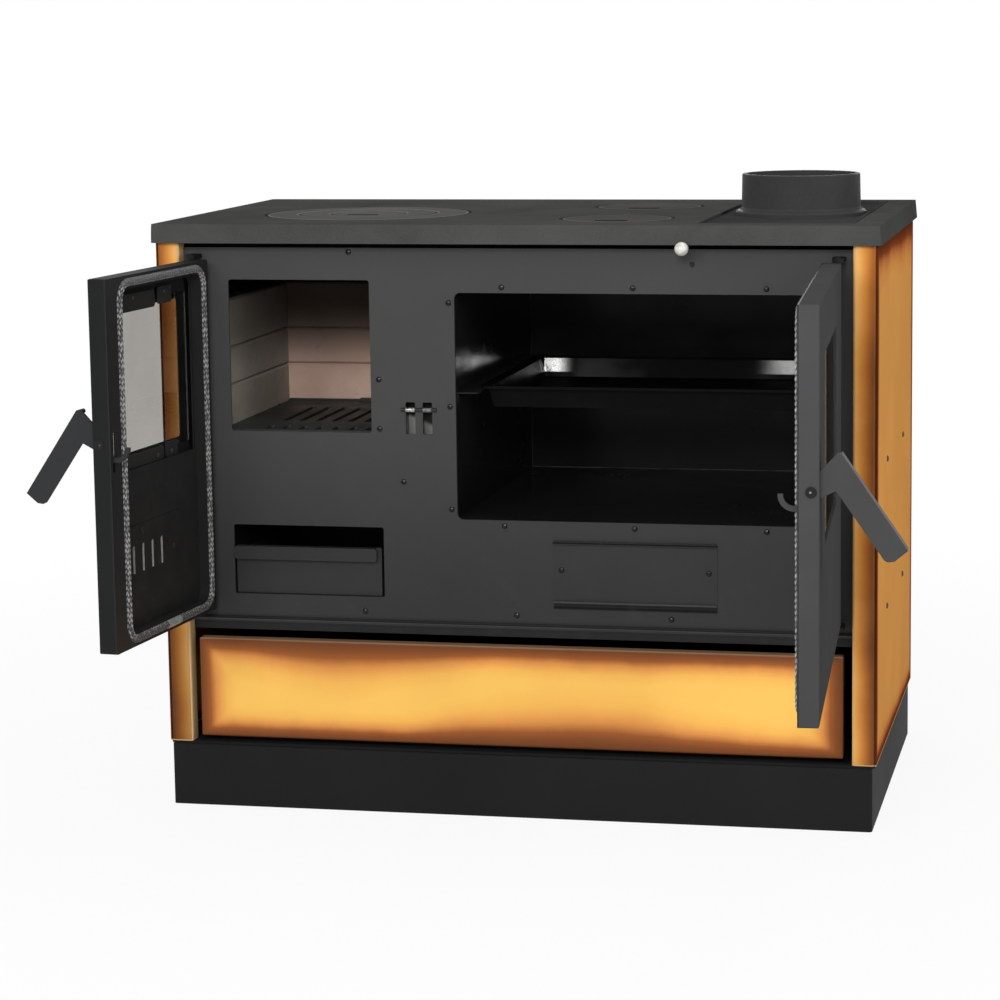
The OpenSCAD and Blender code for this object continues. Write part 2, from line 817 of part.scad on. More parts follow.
// Cast plate under the bricks, open over the ash box
module hearth_plate() {
    color("#2a2a2a") flat(hearth_z - hearth_t, hearth_t) difference() {
        translate([casing_x0, hot_front_y]) square([casing_x1 - casing_x0,
            brick_y1 + brick_t + casing_t - hot_front_y]);
        round_rect(brick_x0 + 8, brick_y0 - 12, brick_x1 - 8, brick_y1 - 20, 6);
    }
}

// Cast grate with a long and a short row of slots and ribs below
module grate() {
    gap = 1.5;
    slots = 7;
    first_x = brick_x0 + 65;
    long_y = brick_y1 - 242;
    top = hearth_z + slack + grate_t;
    color("#2e2f2e") {
        difference() {
            flat(hearth_z + slack, grate_t) difference() {
                round_rect(brick_x0 + gap, hot_front_y + 2, brick_x1 - gap, brick_y1 - gap, 5);
                for (k = [0:slots - 1]) translate([first_x + k * grate_pitch, 0]) {
                    round_rect(-grate_slot_w / 2, long_y, grate_slot_w / 2, long_y + 160,
                        grate_slot_w / 2 - 0.2);
                    round_rect(-grate_slot_w / 2, long_y - 89, grate_slot_w / 2, long_y - 54,
                        grate_slot_w / 2 - 0.2);
                }
            }
        }
        for (k = [0:slots - 2]) translate([first_x + (k + 0.5) * grate_pitch, 0])
            block([-3, brick_y0 - 8, hearth_z - 7], [3, brick_y1 - 24, hearth_z + slack + 1]);
        block([brick_x0 + gap, brick_y1 - gap - 6, top - 1], [brick_x1 - gap, brick_y1 - gap, top + 2.5]);
        block([brick_x1 - 128, brick_y1 - gap - 12, top - 1], [brick_x1 - 106, brick_y1 - gap, top + 4.5]);
        translate([brick_x0 + gap + 5, brick_y1 - 70, top]) rotate([-90, 0, 0]) rivet(3.5, 2, 2);
    }
}

// One brick with its two long front edges bevelled, drawn along +X with its face at y = 0
module brick(length, height) {
    bevel = 3;
    rotate([90, 0, 90]) linear_extrude(length) polygon([[0, bevel], [bevel, 0], [brick_t, 0],
        [brick_t, height], [bevel, height], [0, height - bevel]]);
}

module brick_stack(length) {
    joint = 0.8;
    for (k = [0:2]) {
        below = [for (i = 0, z = 0; i <= k; z = z + course_h[i], i = i + 1) z][k];
        translate([0, 0, below]) brick(length, course_h[k] - joint);
    }
}

module side_bricks() {
    length = brick_y1 - brick_y0 - 0.8;
    color("#cdb29c") {
        translate([brick_x0, brick_y0, hearth_z]) rotate([0, 0, 90]) brick_stack(length);
        translate([brick_x1, brick_y0 + length, hearth_z]) rotate([0, 0, -90]) brick_stack(length);
    }
}

module rear_bricks() {
    color("#cdb29c") translate([brick_x0 - brick_t, brick_y1, hearth_z])
        brick_stack(brick_x1 - brick_x0 + 2 * brick_t);
}

// Sheet casing round the bricks
module firebox_casing() {
    y1 = brick_y1 + brick_t + casing_t;
    color("#262626") flat(hearth_z, brick_top + 14 - hearth_z) difference() {
        translate([casing_x0, hot_front_y]) square([casing_x1 - casing_x0, y1 - hot_front_y]);
        translate([casing_x0 + casing_t, hot_front_y - 1])
            square([casing_x1 - casing_x0 - 2 * casing_t, y1 - casing_t - hot_front_y + 1]);
    }
}

// Box under the grate that guides the ash drawer
module ash_box() {
    x0 = ash_x0 - 8;
    x1 = ash_x1 + 8;
    color("#262626") difference() {
        block([x0, panel_back_y, ash_floor_z - ash_box_t], [x1, ash_back_y, hearth_z - hearth_t]);
        block([x0 + ash_box_t, panel_back_y - 1, ash_floor_z],
            [x1 - ash_box_t, ash_back_y - ash_box_t, hearth_z]);
    }
}

// Open drawer with a folded grip along the top of its front
module ash_drawer() {
    x0 = ash_x0 + 2;
    x1 = ash_x1 - 5;
    z0 = ash_floor_z + slack;
    front_z1 = ash_z0 + 71;
    y0 = panel_back_y + 1;
    y1 = ash_back_y - 12;
    side_z1 = front_z1 - 12;
    grip_h = 19;
    t = thin_t;
    r = ash_r - 1;
    color("#3a3b3b") {
        difference() {
            upright(y0, y1 - y0) round_rect(x0, z0, x1, side_z1 + 20, r);
            upright(y0 + t, y1 - y0 - 2 * t) round_rect(x0 + t, z0 + t, x1 - t, side_z1 + 40, r - t);
            block([x0 - 1, y0 - 1, side_z1], [x1 + 1, y1 + 1, side_z1 + 50]);
        }
        upright(y0, t) round_rect(x0, z0, x1, front_z1, r);
        block([x0 + r, y0 - 11, front_z1 - t], [x1 - 8, y0 + 1, front_z1]);
        upright(y0 - 11, t) round_rect(x0, front_z1 - grip_h, x1 - 5, front_z1, 4);
    }
}

// Oven

module oven_box() {
    color("#1a1a1c") difference() {
        union() {
            block([oven_x0 - oven_t, panel_back_y, oven_z0 - oven_t],
                [oven_x1 + oven_t, oven_back_y + oven_t, oven_z1 + oven_t]);
            upright(panel_back_y, oven_t) round_rect(oven_x0 - oven_flange, oven_z0 - oven_flange,
                oven_x1 + oven_flange, oven_z1 + oven_flange, 12);
        }
        block([oven_x0, panel_back_y - 1, oven_z0], [oven_x1, oven_back_y, oven_z1]);
        upright(panel_back_y - 1, oven_t + 2) rivet_holes(front_rivet_points, rivet_shank_r + fit);
    }
}

// Angle rails that carry the tray's rim
module oven_rails() {
    y0 = panel_back_y + 6;
    t = 2;
    color("#242426") for (s = [0, 1]) {
        x_wall = s == 0 ? oven_x0 : oven_x1;
        d = s == 0 ? 1 : -1;
        for (b = [[[0, rail_z - t], [rail_w, rail_z]], [[0, rail_z - 16], [t, rail_z]]]) {
            xa = x_wall + d * b[0][0];
            xb = x_wall + d * b[1][0];
            block([min(xa, xb), y0, b[0][1]], [max(xa, xb), oven_back_y - 12, b[1][1]]);
        }
    }
}

// Drafted bowl between a lower and an upper outline
module tray_bowl(x, y0, y1, z0, z1, draft) {
    intersection() {
        upright(y0 - 1, y1 - y0 + 2) polygon([[oven_cx - x + draft, z0], [oven_cx + x - draft, z0],
            [oven_cx + x, z1], [oven_cx - x, z1]]);
        sideways(oven_cx - x - 1, 2 * x + 2)
            polygon([[y0 + draft, z0], [y1 - draft, z0], [y1, z1], [y0, z1]]);
    }
}

module baking_tray() {
    z1 = rail_z + slack;
    z0 = z1 - tray_h;
    x = tray_w / 2 - tray_rim;
    y0 = tray_y0 + tray_rim;
    y1 = tray_y0 + tray_d - tray_rim;
    draft = 6;
    color("#202124") difference() {
        union() {
            tray_bowl(x, y0, y1, z0, z1 + tray_t, draft);
            flat(z1, tray_t) round_rect(oven_cx - tray_w / 2, tray_y0, oven_cx + tray_w / 2,
                tray_y0 + tray_d, 10);
            flat(z1, tray_lip) difference() {
                round_rect(oven_cx - tray_w / 2, tray_y0, oven_cx + tray_w / 2, tray_y0 + tray_d, 10);
                round_rect(oven_cx - tray_w / 2 + tray_t, tray_y0 + tray_t,
                    oven_cx + tray_w / 2 - tray_t, tray_y0 + tray_d - tray_t, 10 - tray_t);
            }
        }
        tray_bowl(x - tray_t, y0 + tray_t, y1 - tray_t, z0 + tray_t, z1 + tray_t + 1, draft);
    }
}

// Storage drawer

module drawer_runners() {
    color("#2c2c2c") for (s = [0, 1]) mirror([s, 0, 0]) {
        block([drawer_box_x - 25, panel_y + 12, base_z], [drawer_box_x + 4, drawer_back_y, base_z + 2]);
        block([drawer_box_x + 2, panel_y + 12, base_z], [drawer_box_x + 4, drawer_back_y, base_z + 45]);
    }
}

module storage_drawer() {
    z0 = base_z + 2 + slack;
    z1 = drawer_z1 - 12;
    y0 = drawer_front_y + drawer_front_t;
    t = thin_t;
    color("#333333") difference() {
        block([-drawer_box_x, y0, z0], [drawer_box_x, drawer_back_y - 6, z1]);
        block([-drawer_box_x + t, y0 + t, z0 + t], [drawer_box_x - t, drawer_back_y - 6 - t, z1 + 1]);
    }
}

// Pressed enamelled front of the storage drawer
module drawer_front() {
    color("#e0a040") difference() {
        pressed_block(-drawer_x, drawer_x, drawer_z0, drawer_z1, drawer_front_y,
            drawer_front_y + drawer_front_t, 3);
        block([-drawer_x + thin_t, drawer_front_y + thin_t, drawer_z0 + thin_t],
            [drawer_x - thin_t, drawer_front_y + drawer_front_t - thin_t, drawer_z1 - thin_t]);
    }
}

// Doors, with x0 and x1 as the closed door's edges and free as the side of the free edge

// Corners of the rope's path
function rope_box(x0, x1, free) = [
    x0 + (free < 0 ? oven_free_margin : hinge_margin), door_z0 + rope_margin_z,
    x1 - (free > 0 ? fire_free_margin : hinge_margin), door_z1 - rope_margin_z];

function lever_cx(free) = split_x - free * lever_x;

module door_skin(x0, x1, free, window, window_r) {
    slot_x = lever_cx(free);
    slot_w = lever_t + 3;
    hinge = free > 0 ? -hinge_x : hinge_x;
    difference() {
        pressed_block(x0, x1, door_z0, door_z1, door_face_y, door_inner_y - 2, 3);
        upright(door_face_y + skin_t, door_t) translate([x0 + skin_t, door_z0 + skin_t])
            square([x1 - x0 - 2 * skin_t, door_z1 - door_z0 - 2 * skin_t]);
        upright(door_face_y - 1, skin_t + 2)
            round_rect(window[0], window[1], window[2], window[3], window_r);
        upright(door_face_y - 1, skin_t + 2) round_rect(slot_x - slot_w / 2, pivot_z - 24,
            slot_x + slot_w / 2, pivot_z + 59, 2);
        translate([split_x, pivot_y, pivot_z]) rotate([0, 90, 0])
            cylinder(r = pivot_r, h = 20, center = true);
        translate([hinge, hinge_y, door_z0 - 1]) cylinder(r = pin_r, h = door_z1 - door_z0 + 2);
    }
}

// Two hinge pins welded into the door and the rivet that its handle turns on
module door_pins(free) {
    hinge = free > 0 ? -hinge_x : hinge_x;
    for (z = [door_z0 - 8, door_z1 - skin_t])
        translate([hinge, hinge_y, z]) cylinder(r = pin_r, h = skin_t + 8);
    translate([split_x - free * door_gap / 2, pivot_y, pivot_z]) rotate([0, -free * 90, 0]) {
        translate([0, 0, -0.8]) cylinder(r = 7, h = 0.8);
        cylinder(r = pivot_r, h = lever_x - door_gap / 2 + lever_t / 2 + 2.5);
    }
}

// Inner frame: the land round the door, the rope's channel and the ledge behind the glass
module door_frame(x0, x1, free) {
    box = rope_box(x0, x1, free);
    slot_x = lever_cx(free);
    slot_w = lever_t + 3;
    difference() {
        upright(door_inner_y - 2, 2) difference() {
            round_rect(x0, door_z0, x1, door_z1, 3);
            grown_rect(box, rope_r, channel_gap);
            round_rect(slot_x - slot_w / 2, pivot_z - 38, slot_x + slot_w / 2, pivot_z + 16, 2);
        }
    }
    upright(channel_floor_y, door_inner_y - 2 - channel_floor_y)
        rect_band(box, rope_r, channel_gap + channel_t, channel_gap);
    upright(channel_floor_y - channel_t, channel_t)
        rect_band(box, rope_r, channel_gap + channel_t, -channel_gap - channel_t);
    upright(channel_floor_y, door_inner_y - channel_floor_y)
        rect_band(box, rope_r, -channel_gap, -channel_gap - channel_t);
    upright(recess_floor_y, channel_floor_y - channel_t - recess_floor_y)
        rect_band(box, rope_r, -channel_gap, -channel_gap - channel_t);
    upright(recess_floor_y - channel_t, channel_t)
        rect_band(box, rope_r, -channel_gap, -channel_gap - channel_t - ledge_w);
}

// Woven rope laid round the door on straight runs and quarter bends
module door_seal(x0, x1, free) {
    box = rope_box(x0, x1, free);
    r = rope_d / 2;
    xs = [box[0] + rope_r, box[2] - rope_r];
    zs = [box[1] + rope_r, box[3] - rope_r];
    for (z = [box[1], box[3]])
        translate([xs[0], rope_y, z]) rotate([0, 90, 0]) cylinder(r = r, h = xs[1] - xs[0]);
    for (x = [box[0], box[2]])
        translate([x, rope_y, zs[0]]) cylinder(r = r, h = zs[1] - zs[0]);
    for (i = [0, 1], j = [0, 1])
        translate([xs[i], rope_y, zs[j]])
            rotate([90, 0, 0]) rotate([0, 0, i == 0 ? (j == 0 ? 180 : 90) : (j == 0 ? 270 : 0)])
                rotate_extrude(angle = 90) translate([rope_r, 0]) circle(r);
}

// Folded steel handle: a lever outside, a pivot eye inside the door and a hook towards the panel
module door_handle(free) {
    hook_c = [-20, -4.5];
    hook_r = 20;
    hook_w = 6.5;
    flange = 18;
    edge_a = [36, 45];
    edge_b = [114, -70];
    slope = atan2(edge_b[1] - edge_a[1], edge_b[0] - edge_a[0]);
    edge_len = norm(edge_b - edge_a);
    translate([lever_cx(free), pivot_y, pivot_z]) rotate([0, 0, -90]) {
        rotate([90, 0, 0]) translate([0, 0, -lever_t / 2]) {
            linear_extrude(lever_t) difference() {
                union() {
                    circle(13);
                    polygon([[9, -9], [29, 1], [86, -82], [90, -84], [98, -83], edge_b, edge_a,
                        [31, 46], [9, 23], [0, 12], [0, -9]]);
                    intersection() {
                        translate(hook_c) difference() {
                            circle(hook_r);
                            circle(hook_r - hook_w);
                        }
                        translate([hook_c[0] - hook_r - 1, hook_c[1] - hook_r - 1])
                            square([2 * hook_r, hook_r + 2]);
                    }
                }
                circle(pivot_r + fit);
            }
        }
        rotate([90, 0, 0]) translate([edge_a[0], edge_a[1], 0]) rotate([0, 0, slope])
            translate([0, -thin_t * 2, free > 0 ? lever_t / 2 : -lever_t / 2 - flange]) {
                cube([edge_len, thin_t * 2, flange]);
                translate([3, 0.4, 0]) cylinder(r = 2.2, h = flange);
            }
    }
}

// Window openings as x0, z0, x1, z1
fire_window = [fire_door_x0 + 58, fire_z0 + 2, fire_door_x1 - 55, fire_z1 - 20];
oven_window = [oven_cx - 170, oven_z0 + 62, oven_cx + 160, oven_z1 - 24];
glass_lap = 8;
fire_glass_lap = 24;
clip_gap = 0.1;
clip_t = 2;

module door_glass(window, left_lap) {
    upright(glass_back_y - glass_t, glass_t) round_rect(window[0] - left_lap,
        window[1] - glass_lap, window[2] + glass_lap, window[3] + glass_lap, 3);
}

// Post on the skin that a clip is screwed to
module clip_post(p, r) {
    translate([p[0], door_face_y + skin_t, p[1]]) rotate([-90, 0, 0])
        cylinder(r = r, h = glass_back_y + clip_gap + clip_t - door_face_y - skin_t);
}

// Clip that laps over the glass, with a screw at each of its posts
module glass_clip(x0, z0, x1, z1, posts) {
    y0 = glass_back_y + clip_gap;
    difference() {
        upright(y0, clip_t) round_rect(x0, z0, x1, z1, 4);
        for (p = posts) clip_post(p, 3 + fit);
    }
    for (p = posts) {
        clip_post(p, 3);
        translate([p[0], y0 + clip_t, p[1]]) rotate([0, 0, 180]) rivet(4.2, 2, 1);
    }
}

air_x0 = fire_window[2] - 4;
air_z0 = door_z0 + 94;

// Row of upright slots, in X and Z
module air_slots(w, shift) {
    for (k = [0:air_count - 1])
        translate([air_x0 - k * air_pitch + shift, 0])
            round_rect(-w / 2, air_z0, w / 2, air_z0 + 38, w / 2 - 0.2);
}

module fire_door_skin() {
    color("#3b3c3d") fire_door_open() difference() {
        door_skin(fire_door_x0, fire_door_x1, 1, fire_window, 6);
        upright(door_face_y - 1, skin_t + 2) air_slots(7, 0);
        upright(door_face_y - 1, skin_t + 2)
            round_rect(air_knob_x - 4 - air_travel, air_knob_z - 4, air_knob_x + 4, air_knob_z + 4, 3.9);
    }
}

module fire_door_frame() {
    color("#333435") fire_door_open() door_frame(fire_door_x0, fire_door_x1, 1);
}

module fire_door_pins() {
    color("#6a6a68") fire_door_open() door_pins(1);
}

module fire_door_glass() {
    color("#c8d2d4", 0.35) fire_door_open() door_glass(fire_window, fire_glass_lap);
}

// A long and a short clip above the glass, and the same below it
module fire_glass_clips() {
    x1 = fire_window[2] - 2;
    top = fire_window[3] + glass_lap + 6;
    low = fire_window[1] - glass_lap - 7;
    color("#2b2b2b") fire_door_open() {
        glass_clip(x1 - 135, top - 18, x1, top + 6, [[x1 - 66, top]]);
        glass_clip(x1 - 190, top - 16, x1 - 146, top + 8, [[x1 - 166, top]]);
        glass_clip(x1 - 150, low - 7, x1, low + 12, [[x1 - 130, low], [x1 - 20, low]]);
        glass_clip(x1 - 196, low - 8, x1 - 158, low + 14, [[x1 - 176, low]]);
    }
}

// Lower inner plate of the firebox door, with a second plate on it round the air slots
module air_plate() {
    box = rope_box(fire_door_x0, fire_door_x1, 1);
    gap = channel_gap + channel_t + 0.4;
    front_t = 1.2;
    color("#232323") fire_door_open() {
        difference() {
            union() {
                upright(recess_floor_y, thin_t) intersection() {
                    grown_rect(box, rope_r, -gap);
                    translate([box[0], box[1]])
                        square([box[2] - box[0], fire_window[1] - 22 - box[1]]);
                }
                upright(recess_floor_y + thin_t - 0.1, front_t + 0.1)
                    round_rect(air_x0 - 184, air_z0 - 62, air_x0 + 8, air_z0 + 66, 3);
            }
            upright(recess_floor_y - 1, thin_t + front_t + 2) air_slots(6, 0);
        }
        for (p = [[air_x0 - 60, air_z0 + 57], [air_x0 - 160, air_z0 + 18]])
            translate([p[0], recess_floor_y + thin_t + front_t, p[1]]) rotate([0, 0, 180]) rivet(5, 2, 1);
    }
}

air_knob_x = air_x0 - 138;
air_knob_z = air_z0 + 19;
// Sliding plate behind the skin, with its knob in front
module air_slider() {
    y0 = door_face_y + skin_t + 0.3;
    color("#8c8c8a") fire_door_open() {
        upright(y0, 1.5) difference() {
            round_rect(air_x0 - (air_count - 1) * air_pitch - 34, air_z0 - 6, air_x0 + 7, air_z0 + 44, 2);
            air_slots(8, -3.5);
        }
        translate([air_knob_x, y0 + 0.5, air_knob_z]) rotate([90, 0, 0]) {
            cylinder(r = 3, h = 8);
            translate([0, 0, 3.8]) cylinder(r = 8, h = 8);
        }
    }
}

module fire_door_seal() {
    color("#b9b9b4") fire_door_open() door_seal(fire_door_x0, fire_door_x1, 1);
}

module fire_door_handle() {
    color("#3a3b3c") fire_door_open() door_handle(1);
}

module oven_door_skin() {
    color("#434445") oven_door_open() door_skin(oven_door_x0, oven_door_x1, -1, oven_window, 8);
}

module oven_door_frame() {
    color("#333435") oven_door_open() door_frame(oven_door_x0, oven_door_x1, -1);
}

module oven_door_pins() {
    color("#6a6a68") oven_door_open() door_pins(-1);
}

module oven_door_glass() {
    color("#c8d2d4", 0.35) oven_door_open() door_glass(oven_window, glass_lap);
}

module oven_glass_clips() {
    x0 = oven_window[0] - 2;
    x1 = oven_window[2] - 40;
    posts_x = [x0 + 16, (x0 + x1) / 2, x1 - 16];
    color("#2b2b2b") oven_door_open() {
        top = oven_window[3] + glass_lap + 4;
        low = oven_window[1] - glass_lap - 8;
        glass_clip(x0, top - 8, x1, top + 12, [for (x = posts_x) [x, top + 4]]);
        glass_clip(x0, low - 8, x1, low + 12, [for (x = posts_x) [x, low]]);
    }
}

module oven_door_seal() {
    color("#b9b9b4") oven_door_open() door_seal(oven_door_x0, oven_door_x1, -1);
}

module oven_door_handle() {
    color("#3a3b3c") oven_door_open() door_handle(-1);
}

plinth();
base_plate();
side_frames();
left_side_panel();
right_side_panel();
side_screws();
rear_panel();
rear_screws();
left_column();
right_column();
inner_body();
front_panel();
front_rivets();
latch_pin();
latch_box();
hinge_lugs();
cleaning_cover();
cleaning_screws();
hob_top();
outer_ring();
inner_ring();
centre_disc();
front_cover();
rear_cover();
flue_plate();
flue_collar();
flue_box();
damper_guide();
damper_plate();
damper_rod();
damper_knob();
hearth_plate();
grate();
side_bricks();
rear_bricks();
firebox_casing();
ash_box();
ash_drawer();
oven_box();
oven_rails();
baking_tray();
drawer_runners();
storage_drawer();
drawer_front();
fire_door_skin();
fire_door_frame();
fire_door_pins();
fire_door_glass();
fire_glass_clips();
air_plate();
air_slider();
fire_door_seal();
fire_door_handle();
oven_door_skin();
oven_door_frame();
oven_door_pins();
oven_door_glass();
oven_glass_clips();
oven_door_seal();
oven_door_handle();
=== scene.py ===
"""Looks of the wood cookstove: materials, rope seals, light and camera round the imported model."""
import json
import math

import bpy
import numpy as np
from mathutils import Matrix, Vector


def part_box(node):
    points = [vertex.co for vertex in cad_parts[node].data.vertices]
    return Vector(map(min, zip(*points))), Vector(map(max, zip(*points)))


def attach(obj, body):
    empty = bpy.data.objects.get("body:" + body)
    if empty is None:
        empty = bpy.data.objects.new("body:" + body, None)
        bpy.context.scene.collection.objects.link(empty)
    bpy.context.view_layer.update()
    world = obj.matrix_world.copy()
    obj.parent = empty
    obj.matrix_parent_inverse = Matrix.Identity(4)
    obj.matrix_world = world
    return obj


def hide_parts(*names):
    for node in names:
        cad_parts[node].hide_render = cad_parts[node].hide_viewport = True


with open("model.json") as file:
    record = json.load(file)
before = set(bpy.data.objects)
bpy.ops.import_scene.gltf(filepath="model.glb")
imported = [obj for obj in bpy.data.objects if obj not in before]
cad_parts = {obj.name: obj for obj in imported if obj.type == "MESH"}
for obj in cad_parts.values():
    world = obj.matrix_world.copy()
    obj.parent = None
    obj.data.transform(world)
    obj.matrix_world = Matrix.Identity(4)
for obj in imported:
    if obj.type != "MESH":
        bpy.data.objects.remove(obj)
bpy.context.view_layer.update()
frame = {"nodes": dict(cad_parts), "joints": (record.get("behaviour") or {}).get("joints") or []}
nodes = frame["nodes"]
joints = {j["name"]: j for j in frame["joints"]}


# ---- Node graphs -------------------------------------------------------------------------------

def srgb(r, g, b):
    """A colour given as 0 to 255 on screen, in the linear values that shaders take."""
    def lin(v):
        v /= 255
        return v / 12.92 if v <= 0.04045 else ((v + 0.055) / 1.055) ** 2.4
    return (lin(r), lin(g), lin(b), 1)


def closing(joint):
    """The turn that closes a door that stands open at rest, and the point on its hinge that it keeps."""
    j = joints[joint]
    return Matrix.Rotation(math.radians(j["range_deg"][0]), 3, Vector(j["axis"])), Vector(j["pos_m"])


def closed_points(node, joint):
    """The node's corner points turned to where the closed door holds them."""
    turn, pivot = closing(joint)
    return np.array([turn @ (v.co - pivot) + pivot for v in nodes[node].data.vertices])


class Graph:
    """Short calls for the nodes of one material. A value may be a number, a colour or a socket."""

    def __init__(self, name):
        self.mat = bpy.data.materials.new(name)
        self.mat.use_nodes = True
        self.tree = self.mat.node_tree
        self.tree.nodes.clear()
        self.out = self.tree.nodes.new("ShaderNodeOutputMaterial")
        self.coord = self.tree.nodes.new("ShaderNodeTexCoord")
        self.pos = self.coord.outputs["Object"]

    def put(self, socket, value):
        if isinstance(value, bpy.types.NodeSocket):
            self.tree.links.new(value, socket)
        else:
            socket.default_value = value

    def node(self, kind, **props):
        made = self.tree.nodes.new(kind)
        for key, value in props.items():
            setattr(made, key, value)
        return made

    def math(self, op, a, b=0.0, c=0.0):
        made = self.node("ShaderNodeMath", operation=op)
        for socket, value in zip(made.inputs, (a, b, c)):
            self.put(socket, value)
        return made.outputs[0]

    def xyz(self, vector=None):
        made = self.node("ShaderNodeSeparateXYZ")
        self.put(made.inputs[0], vector or self.pos)
        return made.outputs

    def closed(self, joint):
        """X, Y and Z that a point of an open door has when the door is closed."""
        turn, pivot = closing(joint)
        p = self.xyz()
        shift = pivot - turn @ pivot
        flat = []
        for k in (0, 1):
            part = self.math("MULTIPLY_ADD", p[1], turn[k][1], shift[k])
            flat.append(self.math("MULTIPLY_ADD", p[0], turn[k][0], part))
        return flat + [p[2]]

    def inside(self, value, low, high, soft=0.0002):
        """1 between low and high, 0 outside."""
        off = self.math("ABSOLUTE", self.math("SUBTRACT", value, (low + high) / 2))
        return self.steps(off, (high - low) / 2 - soft, (high - low) / 2 + soft, 1.0, 0.0)

    def scaled(self, scale, offset=(0, 0, 0), vector=None):
        made = self.node("ShaderNodeMapping")
        self.put(made.inputs["Vector"], vector or self.pos)
        made.inputs["Scale"].default_value = scale
        made.inputs["Location"].default_value = offset
        return made.outputs[0]

    def noise(self, scale, detail, rough, vector=None, warp=0.0):
        made = self.node("ShaderNodeTexNoise")
        self.put(made.inputs["Vector"], vector or self.pos)
        made.inputs["Scale"].default_value = scale
        made.inputs["Detail"].default_value = detail
        made.inputs["Roughness"].default_value = rough
        made.inputs["Distortion"].default_value = warp
        return made.outputs["Fac"]

    def cells(self, scale):
        made = self.node("ShaderNodeTexVoronoi")
        self.put(made.inputs["Vector"], self.pos)
        made.inputs["Scale"].default_value = scale
        return made.outputs["Distance"]

    def steps(self, value, low, high, to_low=0.0, to_high=1.0):
        """Goes smoothly from to_low to to_high while the value goes from low to high."""
        made = self.node("ShaderNodeMapRange", interpolation_type="SMOOTHSTEP")
        for socket, v in zip(made.inputs, (value, low, high, to_low, to_high)):
            self.put(socket, v)
        return made.outputs[0]

    def ramp(self, value, *stops):
        made = self.node("ShaderNodeValToRGB")
        self.put(made.inputs[0], value)
        while len(made.color_ramp.elements) < len(stops):
            made.color_ramp.elements.new(0.5)
        for element, (at, colour) in zip(made.color_ramp.elements, stops):
            element.position = at
            element.color = colour
        return made.outputs[0]

    def mix(self, fac, a, b, blend="MIX"):
        made = self.node("ShaderNodeMix", data_type="RGBA", blend_type=blend)
        self.put(made.inputs[0], fac)
        self.put(made.inputs[6], a)
        self.put(made.inputs[7], b)
        return made.outputs[2]

    def tone(self, colour, factor):
        """The colour times a factor, which may be a socket."""
        made = self.node("ShaderNodeCombineColor")
        for socket in made.inputs:
            self.put(socket, factor)
        return self.mix(1.0, colour, made.outputs[0], "MULTIPLY")

    def vector(self, *values):
        made = self.node("ShaderNodeCombineXYZ")
        for socket, value in zip(made.inputs, values):
            self.put(socket, value)
        return made.outputs[0]

    def hash(self, *values):
        """A steady random number from 0 to 1 for each set of whole numbers."""
        made = self.node("ShaderNodeTexWhiteNoise", noise_dimensions="3D")
        self.put(made.inputs["Vector"], self.vector(*values))
        return made.outputs["Value"]

    def flat_distance(self, a, b):
        """Length of a step that goes a one way and b at right angles to it."""
        return self.math("SQRT", self.math("MULTIPLY_ADD", a, a, self.math("MULTIPLY", b, b)))

    def bump(self, height, distance, strength):
        made = self.node("ShaderNodeBump")
        made.inputs["Strength"].default_value = strength
        made.inputs["Distance"].default_value = distance
        self.put(made.inputs["Height"], height)
        return made.outputs[0]

    def shade(self, colour, roughness, normal=None, **sockets):
        made = self.node("ShaderNodeBsdfPrincipled")
        self.put(made.inputs["Base Color"], colour)
        self.put(made.inputs["Roughness"], roughness)
        if normal is not None:
            self.put(made.inputs["Normal"], normal)
        for key, value in sockets.items():
            self.put(made.inputs[key.replace("_", " ")], value)
        self.put(self.out.inputs["Surface"], made.outputs[0])
        return self.mat


def assign(mat, *names):
    """Gives the material to each named piece."""
    for name in names:
        slots = nodes[name].data.materials
        slots.clear()
        slots.append(mat)


# ---- Materials ---------------------------------------------------------------------------------

BARE_METAL = srgb(120, 112, 100)
FOLD_HIGHLIGHT = (226, 184, 132)    # painted highlight where folded edges catch the light
COAT_ROUGHNESS = 0.12
SLOT_SHADE = 0.14               # tone inside the lifting slots, painted shade
CUT_EDGE = 0.0012              # width of a pane's cut edges
HOOK_X = 0.0125                # how far from the latch pin's middle each hook sits


def toned(colour, factor):
    """The colour times a factor, at most white."""
    return tuple(min(1, c * factor) for c in colour[:3]) + (1,)


def stove_paint(name, colour, rough=0.58, wear_and_reflection=0.0, fade=(), bands=(), specular=0.12):
    """Heatproof paint on sheet steel: fine texture, soft clouds and faint brush-out.
    fade lists steps in the paint's tone: from height, to height, tone below. bands lists strips with a tone
    of their own, painted highlights and painted shade along beads, ribs and edges: from height, to height,
    tone, and from X, to X if it is shorter than the sheet."""
    g = Graph(name)
    clouds = g.noise(3.2, 5, 0.6)
    fine = g.noise(900, 2, 0.6)
    dust = g.noise(26, 6, 0.7)
    base = g.ramp(clouds, (0.32, toned(colour, 0.92)), (0.68, toned(colour, 1.08)))
    for low, high, below in fade:
        base = g.tone(base, g.steps(g.xyz()[2], low, high, below, 1.0))
    for low, high, tone, *across in bands:
        strip = g.inside(g.xyz()[2], low, high)
        if across:
            strip = g.math("MULTIPLY", strip, g.inside(g.xyz()[0], *across))
        base = g.tone(base, g.math("MULTIPLY_ADD", strip, tone - 1.0, 1.0))
    base = g.mix(g.steps(dust, 0.52, 0.75, 0, 0.12), base, toned(colour, 1.5))
    if wear_and_reflection:
        base = g.mix(g.steps(g.noise(60, 5, 0.75), 0.6, 0.72, 0, wear_and_reflection), base, BARE_METAL)
    roughness = g.math("ADD", g.math("MULTIPLY", clouds, 0.18), rough - 0.09)
    return g.shade(base, roughness, g.bump(fine, 0.00012, 0.5), Specular_IOR_Level=specular)


